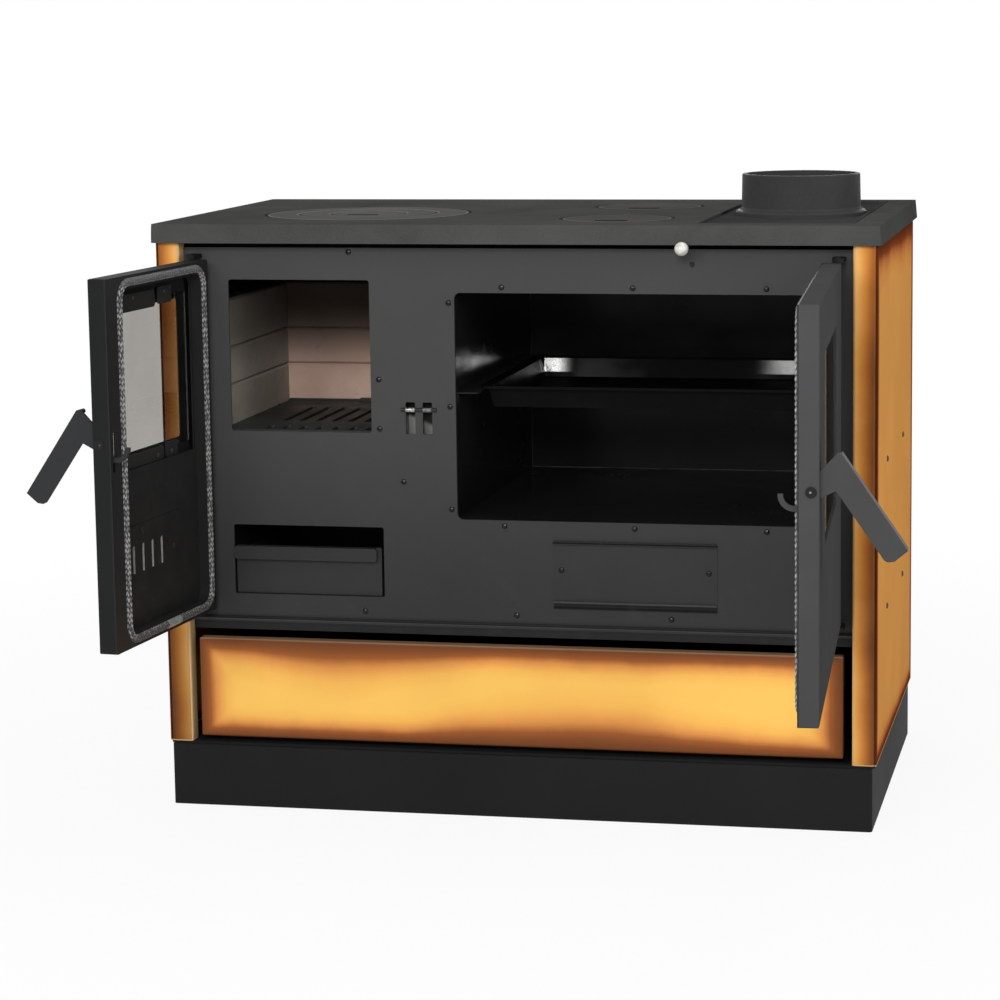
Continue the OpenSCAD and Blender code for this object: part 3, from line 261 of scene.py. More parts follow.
def cast_iron(name, colour, grain, rough=0.6, specular=0.0, brown=0.0, circles=(), slots=()):
    """Sand-cast iron: pitted skin, darker hollows and an oiled, uneven sheen. circles lists rings in
    another tone, painted highlights on rims and painted shade in gaps: centre x and y, radius, half width,
    tone. slots lists lifting slots darkened with painted shade: from X, to X, from Y, to Y."""
    g = Graph(name)
    pits = g.cells(grain)
    skin = g.noise(grain * 0.6, 6, 0.75)
    clouds = g.noise(5, 5, 0.65, warp=0.4)
    base = g.ramp(clouds, (0.3, toned(colour, 0.8)), (0.7, toned(colour, 1.2)))
    base = g.mix(g.steps(skin, 0.42, 0.7, 0, 0.25), base, toned(colour, 1.55))
    if brown:
        base = g.mix(g.steps(g.noise(9, 5, 0.7), 0.4, 0.7, 0, brown), base, srgb(96, 80, 66))
    p = g.xyz()
    # Rings of painted highlight on rims and of painted shade in the gaps between parts.
    for x, y, radius, half, tone in circles:
        away = g.flat_distance(g.math("SUBTRACT", p[0], x), g.math("SUBTRACT", p[1], y))
        ring = g.inside(away, radius - half, radius + half, 0.0006)
        base = g.tone(base, g.math("MULTIPLY_ADD", ring, tone - 1, 1.0))
    # Painted shade inside the lifting slots.
    for x0, x1, y0, y1 in slots:
        hole = g.math("MULTIPLY", g.inside(p[0], x0, x1), g.inside(p[1], y0, y1))
        base = g.tone(base, g.math("MULTIPLY_ADD", hole, SLOT_SHADE - 1, 1.0))
    height = g.math("ADD", g.math("MULTIPLY", skin, 0.7), g.math("MULTIPLY", pits, 0.5))
    roughness = g.math("SUBTRACT", rough + 0.1, g.math("MULTIPLY", g.steps(clouds, 0.4, 0.7), 0.18))
    return g.shade(base, roughness, g.bump(height, 0.0003, 0.6), Specular_IOR_Level=specular)


# The enamel's colours from a sprayed edge inwards. Places on the scale are shares of AMBER_REACH, which
# counts in reaches of the brown edge.
AMBER = ((0.0, (104, 58, 27)), (0.16, (130, 73, 36)), (0.28, (156, 89, 43)), (0.36, (192, 121, 60)),
         (0.44, (221, 146, 74)), (0.54, (236, 164, 82)), (0.7, (249, 187, 90)), (1.0, (255, 200, 98)))
AMBER_REACH = 3.2


def fired(g, base, lines, box, p):
    """What every amber sheet has: pin-prick specks, painted highlights along folded edges, and an uneven
    gloss.
    """
    base = g.mix(g.steps(g.cells(900), 0.0, 0.25, 0.1, 0.0), base, srgb(150, 84, 34))
    # Painted highlights: pale lines where folded edges catch the light.
    for axis, end, width, colour in lines:
        gap = g.math("ABSOLUTE", g.math("SUBTRACT", p[axis], box[end][axis]))
        base = g.mix(g.steps(gap, width * 0.8, width * 1.2, 0.75, 0.0), base, srgb(*colour))
    roughness = g.steps(g.noise(30, 4, 0.6), 0.3, 0.7, 0.28, 0.4)
    return base, roughness, g.bump(g.noise(160, 3, 0.5), 0.0004, 0.2)


def drift(g, seed):
    """Slow and quick wander of the sprayed brown, each from -0.5 to 0.5, and the coordinates it uses."""
    moved = g.scaled((1, 1, 1), (seed, seed * 0.7, seed * 0.3))
    wander = g.math("SUBTRACT", g.noise(5, 2, 0.5, moved), 0.5)
    smoke = g.math("SUBTRACT", g.noise(22, 4, 0.6, moved), 0.5)
    return wander, smoke, moved


def amber_enamel(name, node, edges, seed, lines, tint=(1, 1, 1), swells=(), specular=0.1, coat=0.08):
    """Amber enamel sprayed brown towards its edges, under a clear coat. edges lists axis, end (0 or 1)
    and the reach of the brown edge in metres. lines lists axis, end, width and colour of the thin painted
    highlights where folded edges catch the light. swells widen an edge round a place along another axis:
    axis and end of the edge, the other axis, the place, how far it spreads and what it adds."""
    g = Graph(name)
    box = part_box(node)
    p = g.xyz()
    wander, smoke, moved = drift(g, seed)
    stir = g.math("ADD", g.math("MULTIPLY", smoke, 0.35), 1.0)
    stir = g.math("ADD", g.math("MULTIPLY", wander, 0.9), stir)
    near = 9.0    # in reaches of the brown edge, farther than the sheet's middle
    for axis, end, width in edges:
        reach = g.math("MULTIPLY", stir, width)
        for s_axis, s_end, along, centre, spread, extra in swells:
            if (s_axis, s_end) == (axis, end):
                off = g.math("ABSOLUTE", g.math("SUBTRACT", p[along], centre))
                reach = g.math("ADD", reach, g.steps(off, 0.0, spread, extra, 0.0))
        gap = g.math("ABSOLUTE", g.math("SUBTRACT", p[axis], box[end][axis]))
        near = g.math("SMOOTH_MIN", near, g.math("DIVIDE", gap, reach), 0.6)
    pale = g.steps(g.noise(6, 3, 0.5, moved), 0.35, 0.7, 0.94, 1.0)
    stops = ((at, srgb(*(c * t for c, t in zip(colour, tint)))) for at, colour in AMBER)
    base = g.ramp(g.math("DIVIDE", near, AMBER_REACH), *stops)
    base, roughness, normal = fired(g, g.tone(base, pale), lines, box, p)
    return g.shade(base, roughness, normal, Specular_IOR_Level=specular, Coat_Weight=coat,
                   Coat_Roughness=COAT_ROUGHNESS)


def column_enamel(name, node, outer, seed, waist_shade, foot_shade):
    """The same enamel on a corner column: brown along its outer edge, amber towards the doors. outer is
    the end of X that faces away from the stove; the waist number gives the middle of its height painted
    shade, and painted light where it is below zero; the foot number gives its lower end painted shade."""
    g = Graph(name)
    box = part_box(node)
    p = g.xyz()
    wander, smoke, _ = drift(g, seed)
    away = g.math("ABSOLUTE", g.math("SUBTRACT", p[0], box[outer][0]))
    away = g.math("DIVIDE", away, box[1][0] - box[0][0])
    mid, half = (box[0][2] + box[1][2]) / 2, (box[1][2] - box[0][2]) / 2
    # Painted shade over the middle of the height from the waist number, painted light where it is below
    # zero.
    belt = g.math("ABSOLUTE", g.math("SUBTRACT", p[2], mid))
    belt = g.steps(belt, half * 0.1, half * 0.95, waist_shade, 0.0)
    away = g.math("ADD", away, g.math("MULTIPLY_ADD", wander, 0.4, g.math("MULTIPLY", smoke, 0.22)))
    away = g.math("SUBTRACT", away, g.math("MULTIPLY", belt, 0.35))
    away = g.math("ADD", away, g.steps(p[2], box[1][2] - 0.22, box[1][2], 0.06, 0.22))
    base = g.ramp(away, (0.0, srgb(98, 54, 22)), (0.2, srgb(130, 75, 34)), (0.42, srgb(172, 102, 42)),
                  (0.66, srgb(208, 135, 60)), (0.85, srgb(226, 160, 80)), (1.0, srgb(236, 178, 102)))
    # Painted shade towards the foot.
    foot = g.steps(p[2], box[0][2], box[0][2] + 0.35, foot_shade, 1.0)
    # Painted highlights along the bottom fold and the rounded inner edge.
    lines = ((2, 0, 0.0015, FOLD_HIGHLIGHT), (0, 1 - outer, 0.0018, (240, 205, 154)))
    base, roughness, normal = fired(g, g.tone(base, foot), lines, box, p)
    return g.shade(base, roughness, normal, Specular_IOR_Level=0.1, Coat_Weight=0.08,
                   Coat_Roughness=COAT_ROUGHNESS)


def oven_enamel(name, rough, specular, colour, lit_corner=None, wear_and_reflection=None):
    """Deep black fired enamel with a wavy gloss and a light mist of fine specks. The corner point, X, Y
    and Z, gets grey painted highlights along the inner edges that meet there. The wall value gives a wall
    that is smooth, with a painted reflection near both its ends: Y, left end, right end."""
    g = Graph(name)
    waves = g.noise(9, 4, 0.6, warp=0.5)
    base = g.mix(g.steps(g.cells(1300), 0.0, 0.09, 0.4, 0.0), srgb(*colour), srgb(56, 56, 58))
    base = g.mix(g.steps(g.noise(20, 5, 0.7), 0.5, 0.8, 0, 0.4), base, srgb(30, 29, 28))
    roughness = g.steps(waves, 0.3, 0.7, rough - 0.05, rough + 0.08)
    height = g.noise(70, 4, 0.55)
    p = g.xyz()
    rub_and_highlight = 0.0
    # Painted highlights: grey lines along the inner corner's edges.
    if lit_corner:
        near = [g.steps(g.math("ABSOLUTE", g.math("SUBTRACT", p[k], lit_corner[k])), 0.0006, 0.0016, 1.0, 0.0)
                for k in range(3)]
        corner_highlight = g.math("MULTIPLY", near[1], g.math("MAXIMUM", near[0], near[2]))
        corner_highlight = g.math("MULTIPLY", corner_highlight, g.steps(g.noise(14, 4, 0.7), 0.3, 0.6, 0.2, 0.9))
        base = g.mix(corner_highlight, base, srgb(92, 92, 90))
        base = g.mix(g.steps(g.noise(5.5, 4, 0.6), 0.5, 0.72, 0.0, 0.6), base, srgb(40, 40, 40))
    # Painted reflection: bright metallic patches near both ends of the wall.
    if wear_and_reflection:
        wall, left, right = wear_and_reflection
        smooth = g.steps(p[1], wall - 0.02, wall, 0.0, 1.0)
        height = g.math("MULTIPLY", height, g.math("SUBTRACT", 1.0, smooth))
        roughness = g.math("SUBTRACT", roughness, g.math("MULTIPLY", smooth, rough - 0.07))
        ends = g.math("MAXIMUM", g.steps(p[0], left + 0.018, left + 0.052, 1.0, 0.0),
                      g.steps(p[0], right - 0.11, right - 0.05, 0.0, 0.8))
        ends = g.math("MULTIPLY", ends, g.inside(p[0], left + 0.0012, right - 0.0012))
        rub_and_highlight = g.math("MULTIPLY", ends, g.inside(p[1], wall + 0.012, wall + 0.0262))
        rub_and_highlight = g.math("MULTIPLY", rub_and_highlight, g.steps(g.noise(300, 3, 0.7), 0.3, 0.5, 0.7, 1.0))
        base = g.mix(rub_and_highlight, base, srgb(176, 176, 174))
    return g.shade(base, roughness, g.bump(height, 0.0006, 0.3), Specular_IOR_Level=specular,
                   Metallic=g.math("MULTIPLY", rub_and_highlight, 0.9))


def steel(name, colour, rough, along=2, metallic=0.85):
    """Plain steel with drawn scratches along one axis and a little tarnish."""
    g = Graph(name)
    scale = [1400, 1400, 1400]
    scale[along] = 30
    lines = g.noise(1, 3, 0.6, g.scaled(tuple(scale)))
    base = g.mix(g.steps(g.noise(45, 5, 0.7), 0.45, 0.7, 0, 0.6), colour, toned(colour, 0.55))
    return g.shade(base, g.steps(lines, 0.3, 0.7, rough - 0.08, rough + 0.12),
                   g.bump(lines, 0.0001, 0.3), Metallic=metallic)


def blackened(name):
    """Blackened rivet and screw heads with a glossy, slightly dented skin."""
    g = Graph(name)
    dents = g.noise(500, 3, 0.6)
    base = g.mix(g.steps(dents, 0.4, 0.7), srgb(10, 10, 10), srgb(26, 26, 25))
    return g.shade(base, g.steps(dents, 0.3, 0.7, 0.16, 0.3), g.bump(dents, 0.0003, 0.5),
                   Specular_IOR_Level=0.25)


def firebrick(name, pale, mid, dark, shade_colour, shade_from, shade_to, top_shade):
    """Fired clay: sandy grain and chips, darkened upwards with painted shade."""
    g = Graph(name)
    p = g.xyz()
    clouds = g.noise(12, 5, 0.6)
    base = g.ramp(clouds, (0.3, dark), (0.55, mid), (0.75, pale))
    base = g.mix(g.steps(g.noise(40, 6, 0.75), 0.55, 0.7, 0, 0.4), base, toned(dark, 0.75))
    base = g.mix(g.steps(g.cells(420), 0.0, 0.28, 0.3, 0.0), base, toned(dark, 0.5))
    height = g.math("ADD", g.math("MULTIPLY", g.noise(600, 3, 0.7), 0.6), g.noise(90, 5, 0.7))
    # Painted shade that thickens upwards, below the top of the fire opening.
    level = g.math("ADD", p[2], g.math("MULTIPLY", g.math("SUBTRACT", clouds, 0.5), 0.03))
    base = g.mix(g.steps(level, shade_from, shade_to, 0.0, top_shade), base, shade_colour)
    return g.shade(base, 0.92, g.bump(height, 0.0008, 0.5), Specular_IOR_Level=0.1)


def clear_glass(name, node, joint):
    """Ceramic glass with a grey tint, faint smears and green-black cut edges."""
    g = Graph(name)
    points = closed_points(node, joint)
    low, high = points.min(0), points.max(0)
    p = g.closed(joint)
    face = g.math("MULTIPLY", g.inside(p[0], low[0] + CUT_EDGE, high[0] - CUT_EDGE),
                  g.inside(p[2], low[2] + CUT_EDGE, high[2] - CUT_EDGE))
    smear = g.noise(7, 5, 0.65, g.scaled((1, 1, 0.35)), warp=1.2)
    tint = g.ramp(smear, (0.3, srgb(169, 166, 160)), (0.7, srgb(181, 178, 172)))
    tint = g.mix(face, srgb(34, 50, 46), tint)
    return g.shade(tint, g.steps(smear, 0.4, 0.75, 0.0, 0.03), Transmission_Weight=1.0, IOR=1.47)


def slotted_plate(name):
    """The air plate's paint, with one wall of each slot painted bright as a painted highlight."""
    g = Graph(name)
    p = g.closed("firebox_door_hinge")
    clouds = g.noise(30, 5, 0.65)
    base = g.ramp(clouds, (0.3, srgb(29, 29, 29)), (0.7, srgb(38, 38, 37)))
    base = g.mix(g.steps(g.noise(60, 5, 0.75), 0.6, 0.72, 0, 0.12), base, BARE_METAL)
    row = g.inside(p[2], AIR_SLOT_Z[0] - 0.0002, AIR_SLOT_Z[1] + 0.0002)
    # Painted highlight along one wall of each air slot.
    cut = 0.0
    for k in range(AIR_SLOTS):
        middle = AIR_SLOT_X - k * AIR_SLOT_PITCH
        cut = g.math("MAXIMUM", cut, g.inside(p[0], middle - 0.0032, middle - 0.0012, 0.0001))
    cut = g.math("MULTIPLY", cut, row)
    base = g.mix(cut, base, g.mix(g.noise(200, 3, 0.6), srgb(120, 120, 117), srgb(176, 175, 170)))
    return g.shade(base, 0.48, g.bump(g.noise(900, 2, 0.6), 0.00012, 0.5), Specular_IOR_Level=0.15)


def enamel_knob(name):
    """White enamelled ball with small chips."""
    g = Graph(name)
    age = g.noise(120, 4, 0.6)
    base = g.ramp(age, (0.35, srgb(188, 186, 180)), (0.65, srgb(222, 220, 214)))
    base = g.mix(g.steps(g.noise(240, 4, 0.7), 0.62, 0.72, 0, 0.5), base, BARE_METAL)
    return g.shade(base, g.steps(age, 0.3, 0.7, 0.12, 0.26), g.bump(age, 0.0002, 0.3),
                   Coat_Weight=0.6, Coat_Roughness=0.05)


def latch_steel(name):
    """Painted bar, polished bright where the two hooks catch it, partly a painted highlight; the right spot
    is kept dimmer as painted shade.
    """
    g = Graph(name)
    x = g.xyz()[0]
    low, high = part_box("latch_pin")
    middle = (low[0] + high[0]) / 2
    off = g.math("ABSOLUTE", g.math("SUBTRACT", x, middle))
    off = g.math("ABSOLUTE", g.math("SUBTRACT", off, HOOK_X))
    rub_and_highlight = g.steps(off, 0.0055, 0.0072, 1.0, 0.0)
    # Painted shade: the right hook's bright spot is kept dimmer than the left one.
    rub_and_highlight = g.math("MULTIPLY", rub_and_highlight, g.steps(x, middle - 0.004, middle + 0.004, 1.0, 0.35))
    wear = g.steps(g.noise(300, 4, 0.7), 0.3, 0.6)
    base = g.mix(g.math("MULTIPLY", rub_and_highlight, wear), srgb(38, 38, 38), srgb(190, 188, 182))
    return g.shade(base, g.steps(rub_and_highlight, 0, 1, 0.5, 0.28), g.bump(g.noise(900, 3, 0.6), 0.0001, 0.4),
                   Metallic=g.math("MULTIPLY", rub_and_highlight, 0.6), Specular_IOR_Level=0.2)


def pocket_steel(name):
    """Zinc-grey pocket behind the latch slots, black at the top where no light reaches."""
    g = Graph(name)
    p = g.xyz()
    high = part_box("latch_box")[1][2]
    cut = g.math("ADD", p[2], g.math("MULTIPLY", p[0], 0.45))
    light = g.steps(cut, high - 0.102, high - 0.094, 1.0, 0.0)
    spots = g.noise(160, 5, 0.7)
    base = g.mix(light, srgb(9, 9, 9), g.mix(spots, srgb(104, 104, 101), srgb(136, 136, 132)))
    return g.shade(base, 0.6, g.bump(spots, 0.0002, 0.4), Specular_IOR_Level=0.2)


def pin_heads(name, joint, dot, tone):
    """Door pins in blackened steel; the handle's rivet has a lighter grey dot at its middle, of a given
    radius and grey.
    """
    g = Graph(name)
    pos = joints[joint]["pos_m"]
    p = g.xyz()
    away = g.flat_distance(g.math("SUBTRACT", p[0], pos[0]), g.math("SUBTRACT", p[2], pos[2]))
    wear_and_reflection = g.steps(away, dot * 0.7, dot * 1.3, 1.0, 0.0)
    base = g.mix(g.noise(400, 3, 0.6), srgb(16, 16, 16), srgb(34, 34, 34))
    base = g.mix(wear_and_reflection, base, srgb(tone, tone, tone))
    return g.shade(base, 0.36, g.bump(g.noise(700, 3, 0.6), 0.0002, 0.4),
                   Metallic=g.math("MULTIPLY", wear_and_reflection, 0.4), Specular_IOR_Level=0.15)


# Places on the stove with its doors closed, in metres. Fades, strips, circles and slots are written as
# stove_paint and cast_iron take them.
AIR_SLOTS = 5
AIR_SLOT_X, AIR_SLOT_PITCH = -0.1985, 0.030
AIR_SLOT_Z = (0.386, 0.424)
# Painted shade: the panel and cover darken towards the bottom and below the bead.
PANEL_FADE = ((0.27, 0.60, 0.62), (0.276, 0.284, 0.55))
# Painted highlight and painted shade along the panel's bead: a bright line between darker strips.
BEAD_LIGHT_AND_SHADE = ((0.2762, 0.2776, 0.75), (0.2744, 0.2762, 0.3), (0.2716, 0.2744, 3.3), (0.2699, 0.2716, 2.4),
        (0.2660, 0.2690, 0.85))
COVER_X = (0.055, 0.291)
# Painted shadow on the panel under the cleaning cover's lower edge, and painted shade along its top edge.
COVER_SHADOW = ((0.3050, 0.3083, 0.45, *COVER_X), (0.3014, 0.3050, 0.1, *COVER_X),
        (0.3000, 0.3014, 0.6, *COVER_X), (0.3989, 0.4004, 0.75, *COVER_X))
# Painted shade on the cleaning cover's ribs, with a painted highlight on the lower rib.
RIB_LIGHT_AND_SHADE = ((0.3082, 0.3102, 0.3), (0.3104, 0.3128, 1.6), (0.3946, 0.3960, 0.7), (0.3960, 0.3985, 0.06))
DOOR_FADE = ((0.25, 0.75, 0.9),)
assign(stove_paint("panel_paint", srgb(66, 66, 66), fade=PANEL_FADE, bands=BEAD_LIGHT_AND_SHADE + COVER_SHADOW, specular=0.1),
       "front_panel")
assign(stove_paint("cover_paint", srgb(64, 64, 64), fade=PANEL_FADE, bands=RIB_LIGHT_AND_SHADE, specular=0.1),
       "cleaning_cover")
# The firebox door's paints are darker than the oven door's; part of that is painted shade.
assign(stove_paint("fire_door_paint", srgb(32, 33, 33), rough=0.5, specular=0.03), "fire_door_skin")
assign(stove_paint("fire_handle_paint", srgb(43, 44, 45), rough=0.45), "fire_door_handle")
assign(stove_paint("oven_door_paint", srgb(72, 72, 73), rough=0.55, fade=DOOR_FADE, specular=0.0),
       "oven_door_skin")
assign(stove_paint("oven_handle_paint", srgb(66, 65, 65), rough=0.5, specular=0.08), "oven_door_handle")
assign(stove_paint("fire_frame_paint", srgb(33, 33, 33), rough=0.5), "fire_door_frame")
assign(stove_paint("oven_frame_paint", srgb(48, 48, 48), rough=0.5, specular=0.05),
       "oven_door_frame", "oven_glass_clips")
assign(stove_paint("clip_paint", srgb(38, 38, 37), rough=0.42, specular=0.2), "fire_glass_clips")
assign(slotted_plate("air_plate_paint"), "air_plate")
assign(stove_paint("plinth_paint", srgb(35, 35, 35), rough=0.55, specular=0.02), "plinth", "base_plate")
assign(stove_paint("inner_sheet", srgb(26, 26, 26), rough=0.7, wear_and_reflection=0.12), "inner_body", "side_frames",
       "flue_box", "damper_guide", "firebox_casing", "ash_box", "drawer_runners", "storage_drawer")
assign(stove_paint("lug_paint", srgb(22, 22, 22), rough=0.6), "hinge_lugs")
assign(pocket_steel("latch_pocket"), "latch_box")
assign(stove_paint("rear_sheet", srgb(44, 44, 45), rough=0.55), "rear_panel")
assign(stove_paint("ash_drawer_paint", srgb(46, 46, 46), rough=0.5, specular=0.15), "ash_drawer")

FIRE, COVERS = (-0.265, -0.052), ((0.130, -0.150), (0.130, 0.126))
# Painted shade in the gaps round the fire rings and the covers.
GAP_SHADE = ((*FIRE, 0.1527, 0.0016, 0.45),) + tuple((*c, 0.0817, 0.0016, 0.45) for c in COVERS)
# Painted highlights on the rims of the rings and covers, with painted shade in the gaps between rings.
RIM_LIGHT_AND_SHADE = ((*FIRE, 0.1482, 0.0014, 1.9), (*FIRE, 0.1054, 0.0012, 1.8), (*FIRE, 0.1018, 0.0012, 0.5),
        (*FIRE, 0.0586, 0.0012, 1.7), (*FIRE, 0.0554, 0.0012, 0.5))
RIM_LIGHT_AND_SHADE += tuple((*c, 0.0772, 0.0013, 1.8) for c in COVERS)
SLOT_X, SLOT_Y = 0.0236, 0.0076    # half a lifting slot's length and width
SLOTS = tuple((x - SLOT_X, x + SLOT_X, y - SLOT_Y, y + SLOT_Y)
              for x, y in ((-0.265, -0.084), (0.130, -0.198), (0.130, 0.078)))
assign(cast_iron("hob_iron", srgb(72, 72, 71), 700, circles=GAP_SHADE), "hob_top")
assign(cast_iron("ring_iron", srgb(86, 86, 84), 700, brown=0.1, circles=RIM_LIGHT_AND_SHADE, slots=SLOTS),
       "outer_ring", "inner_ring", "centre_disc")
assign(cast_iron("cover_iron", srgb(77, 77, 75), 700, brown=0.05, circles=RIM_LIGHT_AND_SHADE, slots=SLOTS),
       "front_cover", "rear_cover")
assign(cast_iron("flue_plate_iron", srgb(60, 60, 60), 500), "flue_plate")
assign(cast_iron("flue_iron", srgb(59, 59, 59), 500, rough=0.42, specular=0.03), "flue_collar")
assign(cast_iron("grate_iron", srgb(47, 52, 50), 350, rough=0.5, specular=0.2), "grate", "hearth_plate")
assign(firebrick("rear_firebrick", srgb(222, 196, 182), srgb(212, 180, 164), srgb(196, 162, 146),
                 srgb(58, 50, 44), shade_from=0.575, shade_to=0.685, top_shade=0.9), "rear_bricks")
# The side bricks have a greyer tone of their own and are a little darker than the rear ones, painted shade.
assign(firebrick("side_firebrick", srgb(194, 187, 176), srgb(182, 173, 162), srgb(166, 157, 144),
                 srgb(84, 80, 72), shade_from=0.60, shade_to=0.69, top_shade=0.75), "side_bricks")

OVEN_FLANGE, OVEN_WALL = 0.014, 0.002
TRAY_WALL = (0.150, -0.0465, 0.3925)    # Y of the tray's rear wall, its left and right end, where the painted reflection sits
oven_low, oven_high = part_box("oven_box")
assign(oven_enamel("oven_enamel", 0.2, 0.085, (32, 32, 32),
                   lit_corner=(oven_low[0] + OVEN_FLANGE, oven_high[1] - OVEN_WALL, oven_low[2] + OVEN_FLANGE)),
       "oven_box", "oven_rails")
assign(oven_enamel("tray_enamel", 0.4, 0.03, (12, 12, 12), wear_and_reflection=TRAY_WALL), "baking_tray")
assign(clear_glass("fire_glass", "fire_door_glass", "firebox_door_hinge"), "fire_door_glass")
assign(clear_glass("oven_glass", "oven_door_glass", "oven_door_hinge"), "oven_door_glass")
assign(latch_steel("pin_steel"), "latch_pin")
assign(steel("rod_steel", srgb(150, 150, 148), 0.36, 1), "damper_rod", "damper_plate")
assign(steel("slider_steel", srgb(150, 150, 147), 0.5, 2, 0.3), "air_slider")
assign(pin_heads("fire_pins", "firebox_handle_pivot", 0.0011, 90), "fire_door_pins")
assign(pin_heads("oven_pins", "oven_handle_pivot", 0.0013, 140), "oven_door_pins")
assign(blackened("black_rivets"), "front_rivets", "cleaning_screws", "rear_screws")
assign(steel("brown_screws", srgb(66, 38, 18), 0.6, metallic=0.1), "side_screws")
assign(enamel_knob("knob_enamel"), "damper_knob")

DRAWER_EDGES = ((0, 0, 0.017), (0, 1, 0.019), (2, 0, 0.014), (2, 1, 0.015))
DRAWER_SWELLS = ((2, 1, 0, -0.26, 0.26, 0.013), (2, 0, 0, 0.1, 0.34, 0.016))
# Painted highlight along the drawer front's top fold.
DRAWER_HIGHLIGHTS = ((2, 1, 0.0014, (160, 128, 100)),)
SIDE_EDGES = ((1, 0, 0.010), (1, 1, 0.014), (2, 0, 0.012), (2, 1, 0.022))
# Painted highlight along the side panels' lower fold.
SIDE_HIGHLIGHTS = ((2, 0, 0.0016, FOLD_HIGHLIGHT),)
SIDE_TINT = (0.85, 0.77, 0.84)
assign(amber_enamel("drawer_enamel", "drawer_front", DRAWER_EDGES, 1.3, DRAWER_HIGHLIGHTS,
                    swells=DRAWER_SWELLS), "drawer_front")
# The left column gets painted light over its middle and painted shade at its foot, round the open firebox
# door's shadow.
for side, seed, outer, waist_shade, foot_shade in (("left", 4.1, 0, -0.7, 0.46), ("right", 7.7, 1, 0.05, 0.95)):
    panel, column = side + "_side_panel", side + "_column"
    assign(amber_enamel(side + "_side_enamel", panel, SIDE_EDGES, seed, SIDE_HIGHLIGHTS, SIDE_TINT,
                        specular=0.0, coat=0.0), panel)
    assign(column_enamel(side + "_column_enamel", column, outer, seed + 1, waist_shade, foot_shade), column)


# ---- Rope seals --------------------------------------------------------------------------------

COLUMNS = 8            # stitch columns round the rope
PER_COLUMN = 4         # points round one column
STITCH = 0.0074        # length of one stitch
SLANT = 0.8            # how far a stitch's leg runs on, in stitches
ROPE_STEP = 0.00105    # distance of the points along the rope
ROPE_CORNER = 0.026
GROOVE = 0.0010        # depth between two stitches
ROPE_FUZZ, TAPE_FUZZ = 0.00008, 0.00005
ROPE_Z = (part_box("fire_door_seal")[0][2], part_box("fire_door_seal")[1][2])


def link(name, data):
    """Puts an object with this data in the scene."""
    obj = bpy.data.objects.new(name, data)
    bpy.context.scene.collection.objects.link(obj)
    return obj


def smooth_mesh(name, points, faces):
    mesh = bpy.data.meshes.new(name)
    mesh.from_pydata(points, [], faces)
    mesh.polygons.foreach_set("use_smooth", [True] * len(faces))
    return mesh


def opened(mesh, joint):
    """Turns a mesh made on the closed door to where the door stands at rest."""
    turn, pivot = closing(joint)
    mesh.transform(Matrix.Translation(pivot) @ turn.inverted().to_4x4() @ Matrix.Translation(-pivot))


def seal_box(node, joint):
    """Low and high corner of the closed door's seal, its cord radius, and the Y of the cord's middle."""
    points = closed_points(node, joint)
    low, high = points.min(0), points.max(0)
    return low, high, (high[1] - low[1]) / 2, (high[1] + low[1]) / 2


def rope_path(x0, z0, x1, z1, r, step):
    """Points along a rounded rectangle in X and Z, from the middle of its lower run."""
    runs = []
    mid = (x0 + x1) / 2

    def line(a, b):
        n = max(2, int(math.dist(a, b) / step))
        for k in range(n):
            t = k / n
            runs.append((a[0] + (b[0] - a[0]) * t, a[1] + (b[1] - a[1]) * t))

    def arc(cx, cz, start):
        n = int(r * math.pi / 2 / step)
        for k in range(n):
            a = math.radians(start + 90 * k / n)
            runs.append((cx + r * math.cos(a), cz + r * math.sin(a)))

    line((mid, z0), (x1 - r, z0))
    arc(x1 - r, z0 + r, -90)
    line((x1, z0 + r), (x1, z1 - r))
    arc(x1 - r, z1 - r, 0)
    line((x1 - r, z1), (x0 + r, z1))
    arc(x0 + r, z1 - r, 90)
    line((x0, z1 - r), (x0, z0 + r))
    arc(x0 + r, z0 + r, 180)
    line((x0 + r, z0), (mid, z0))
    return np.array(runs)


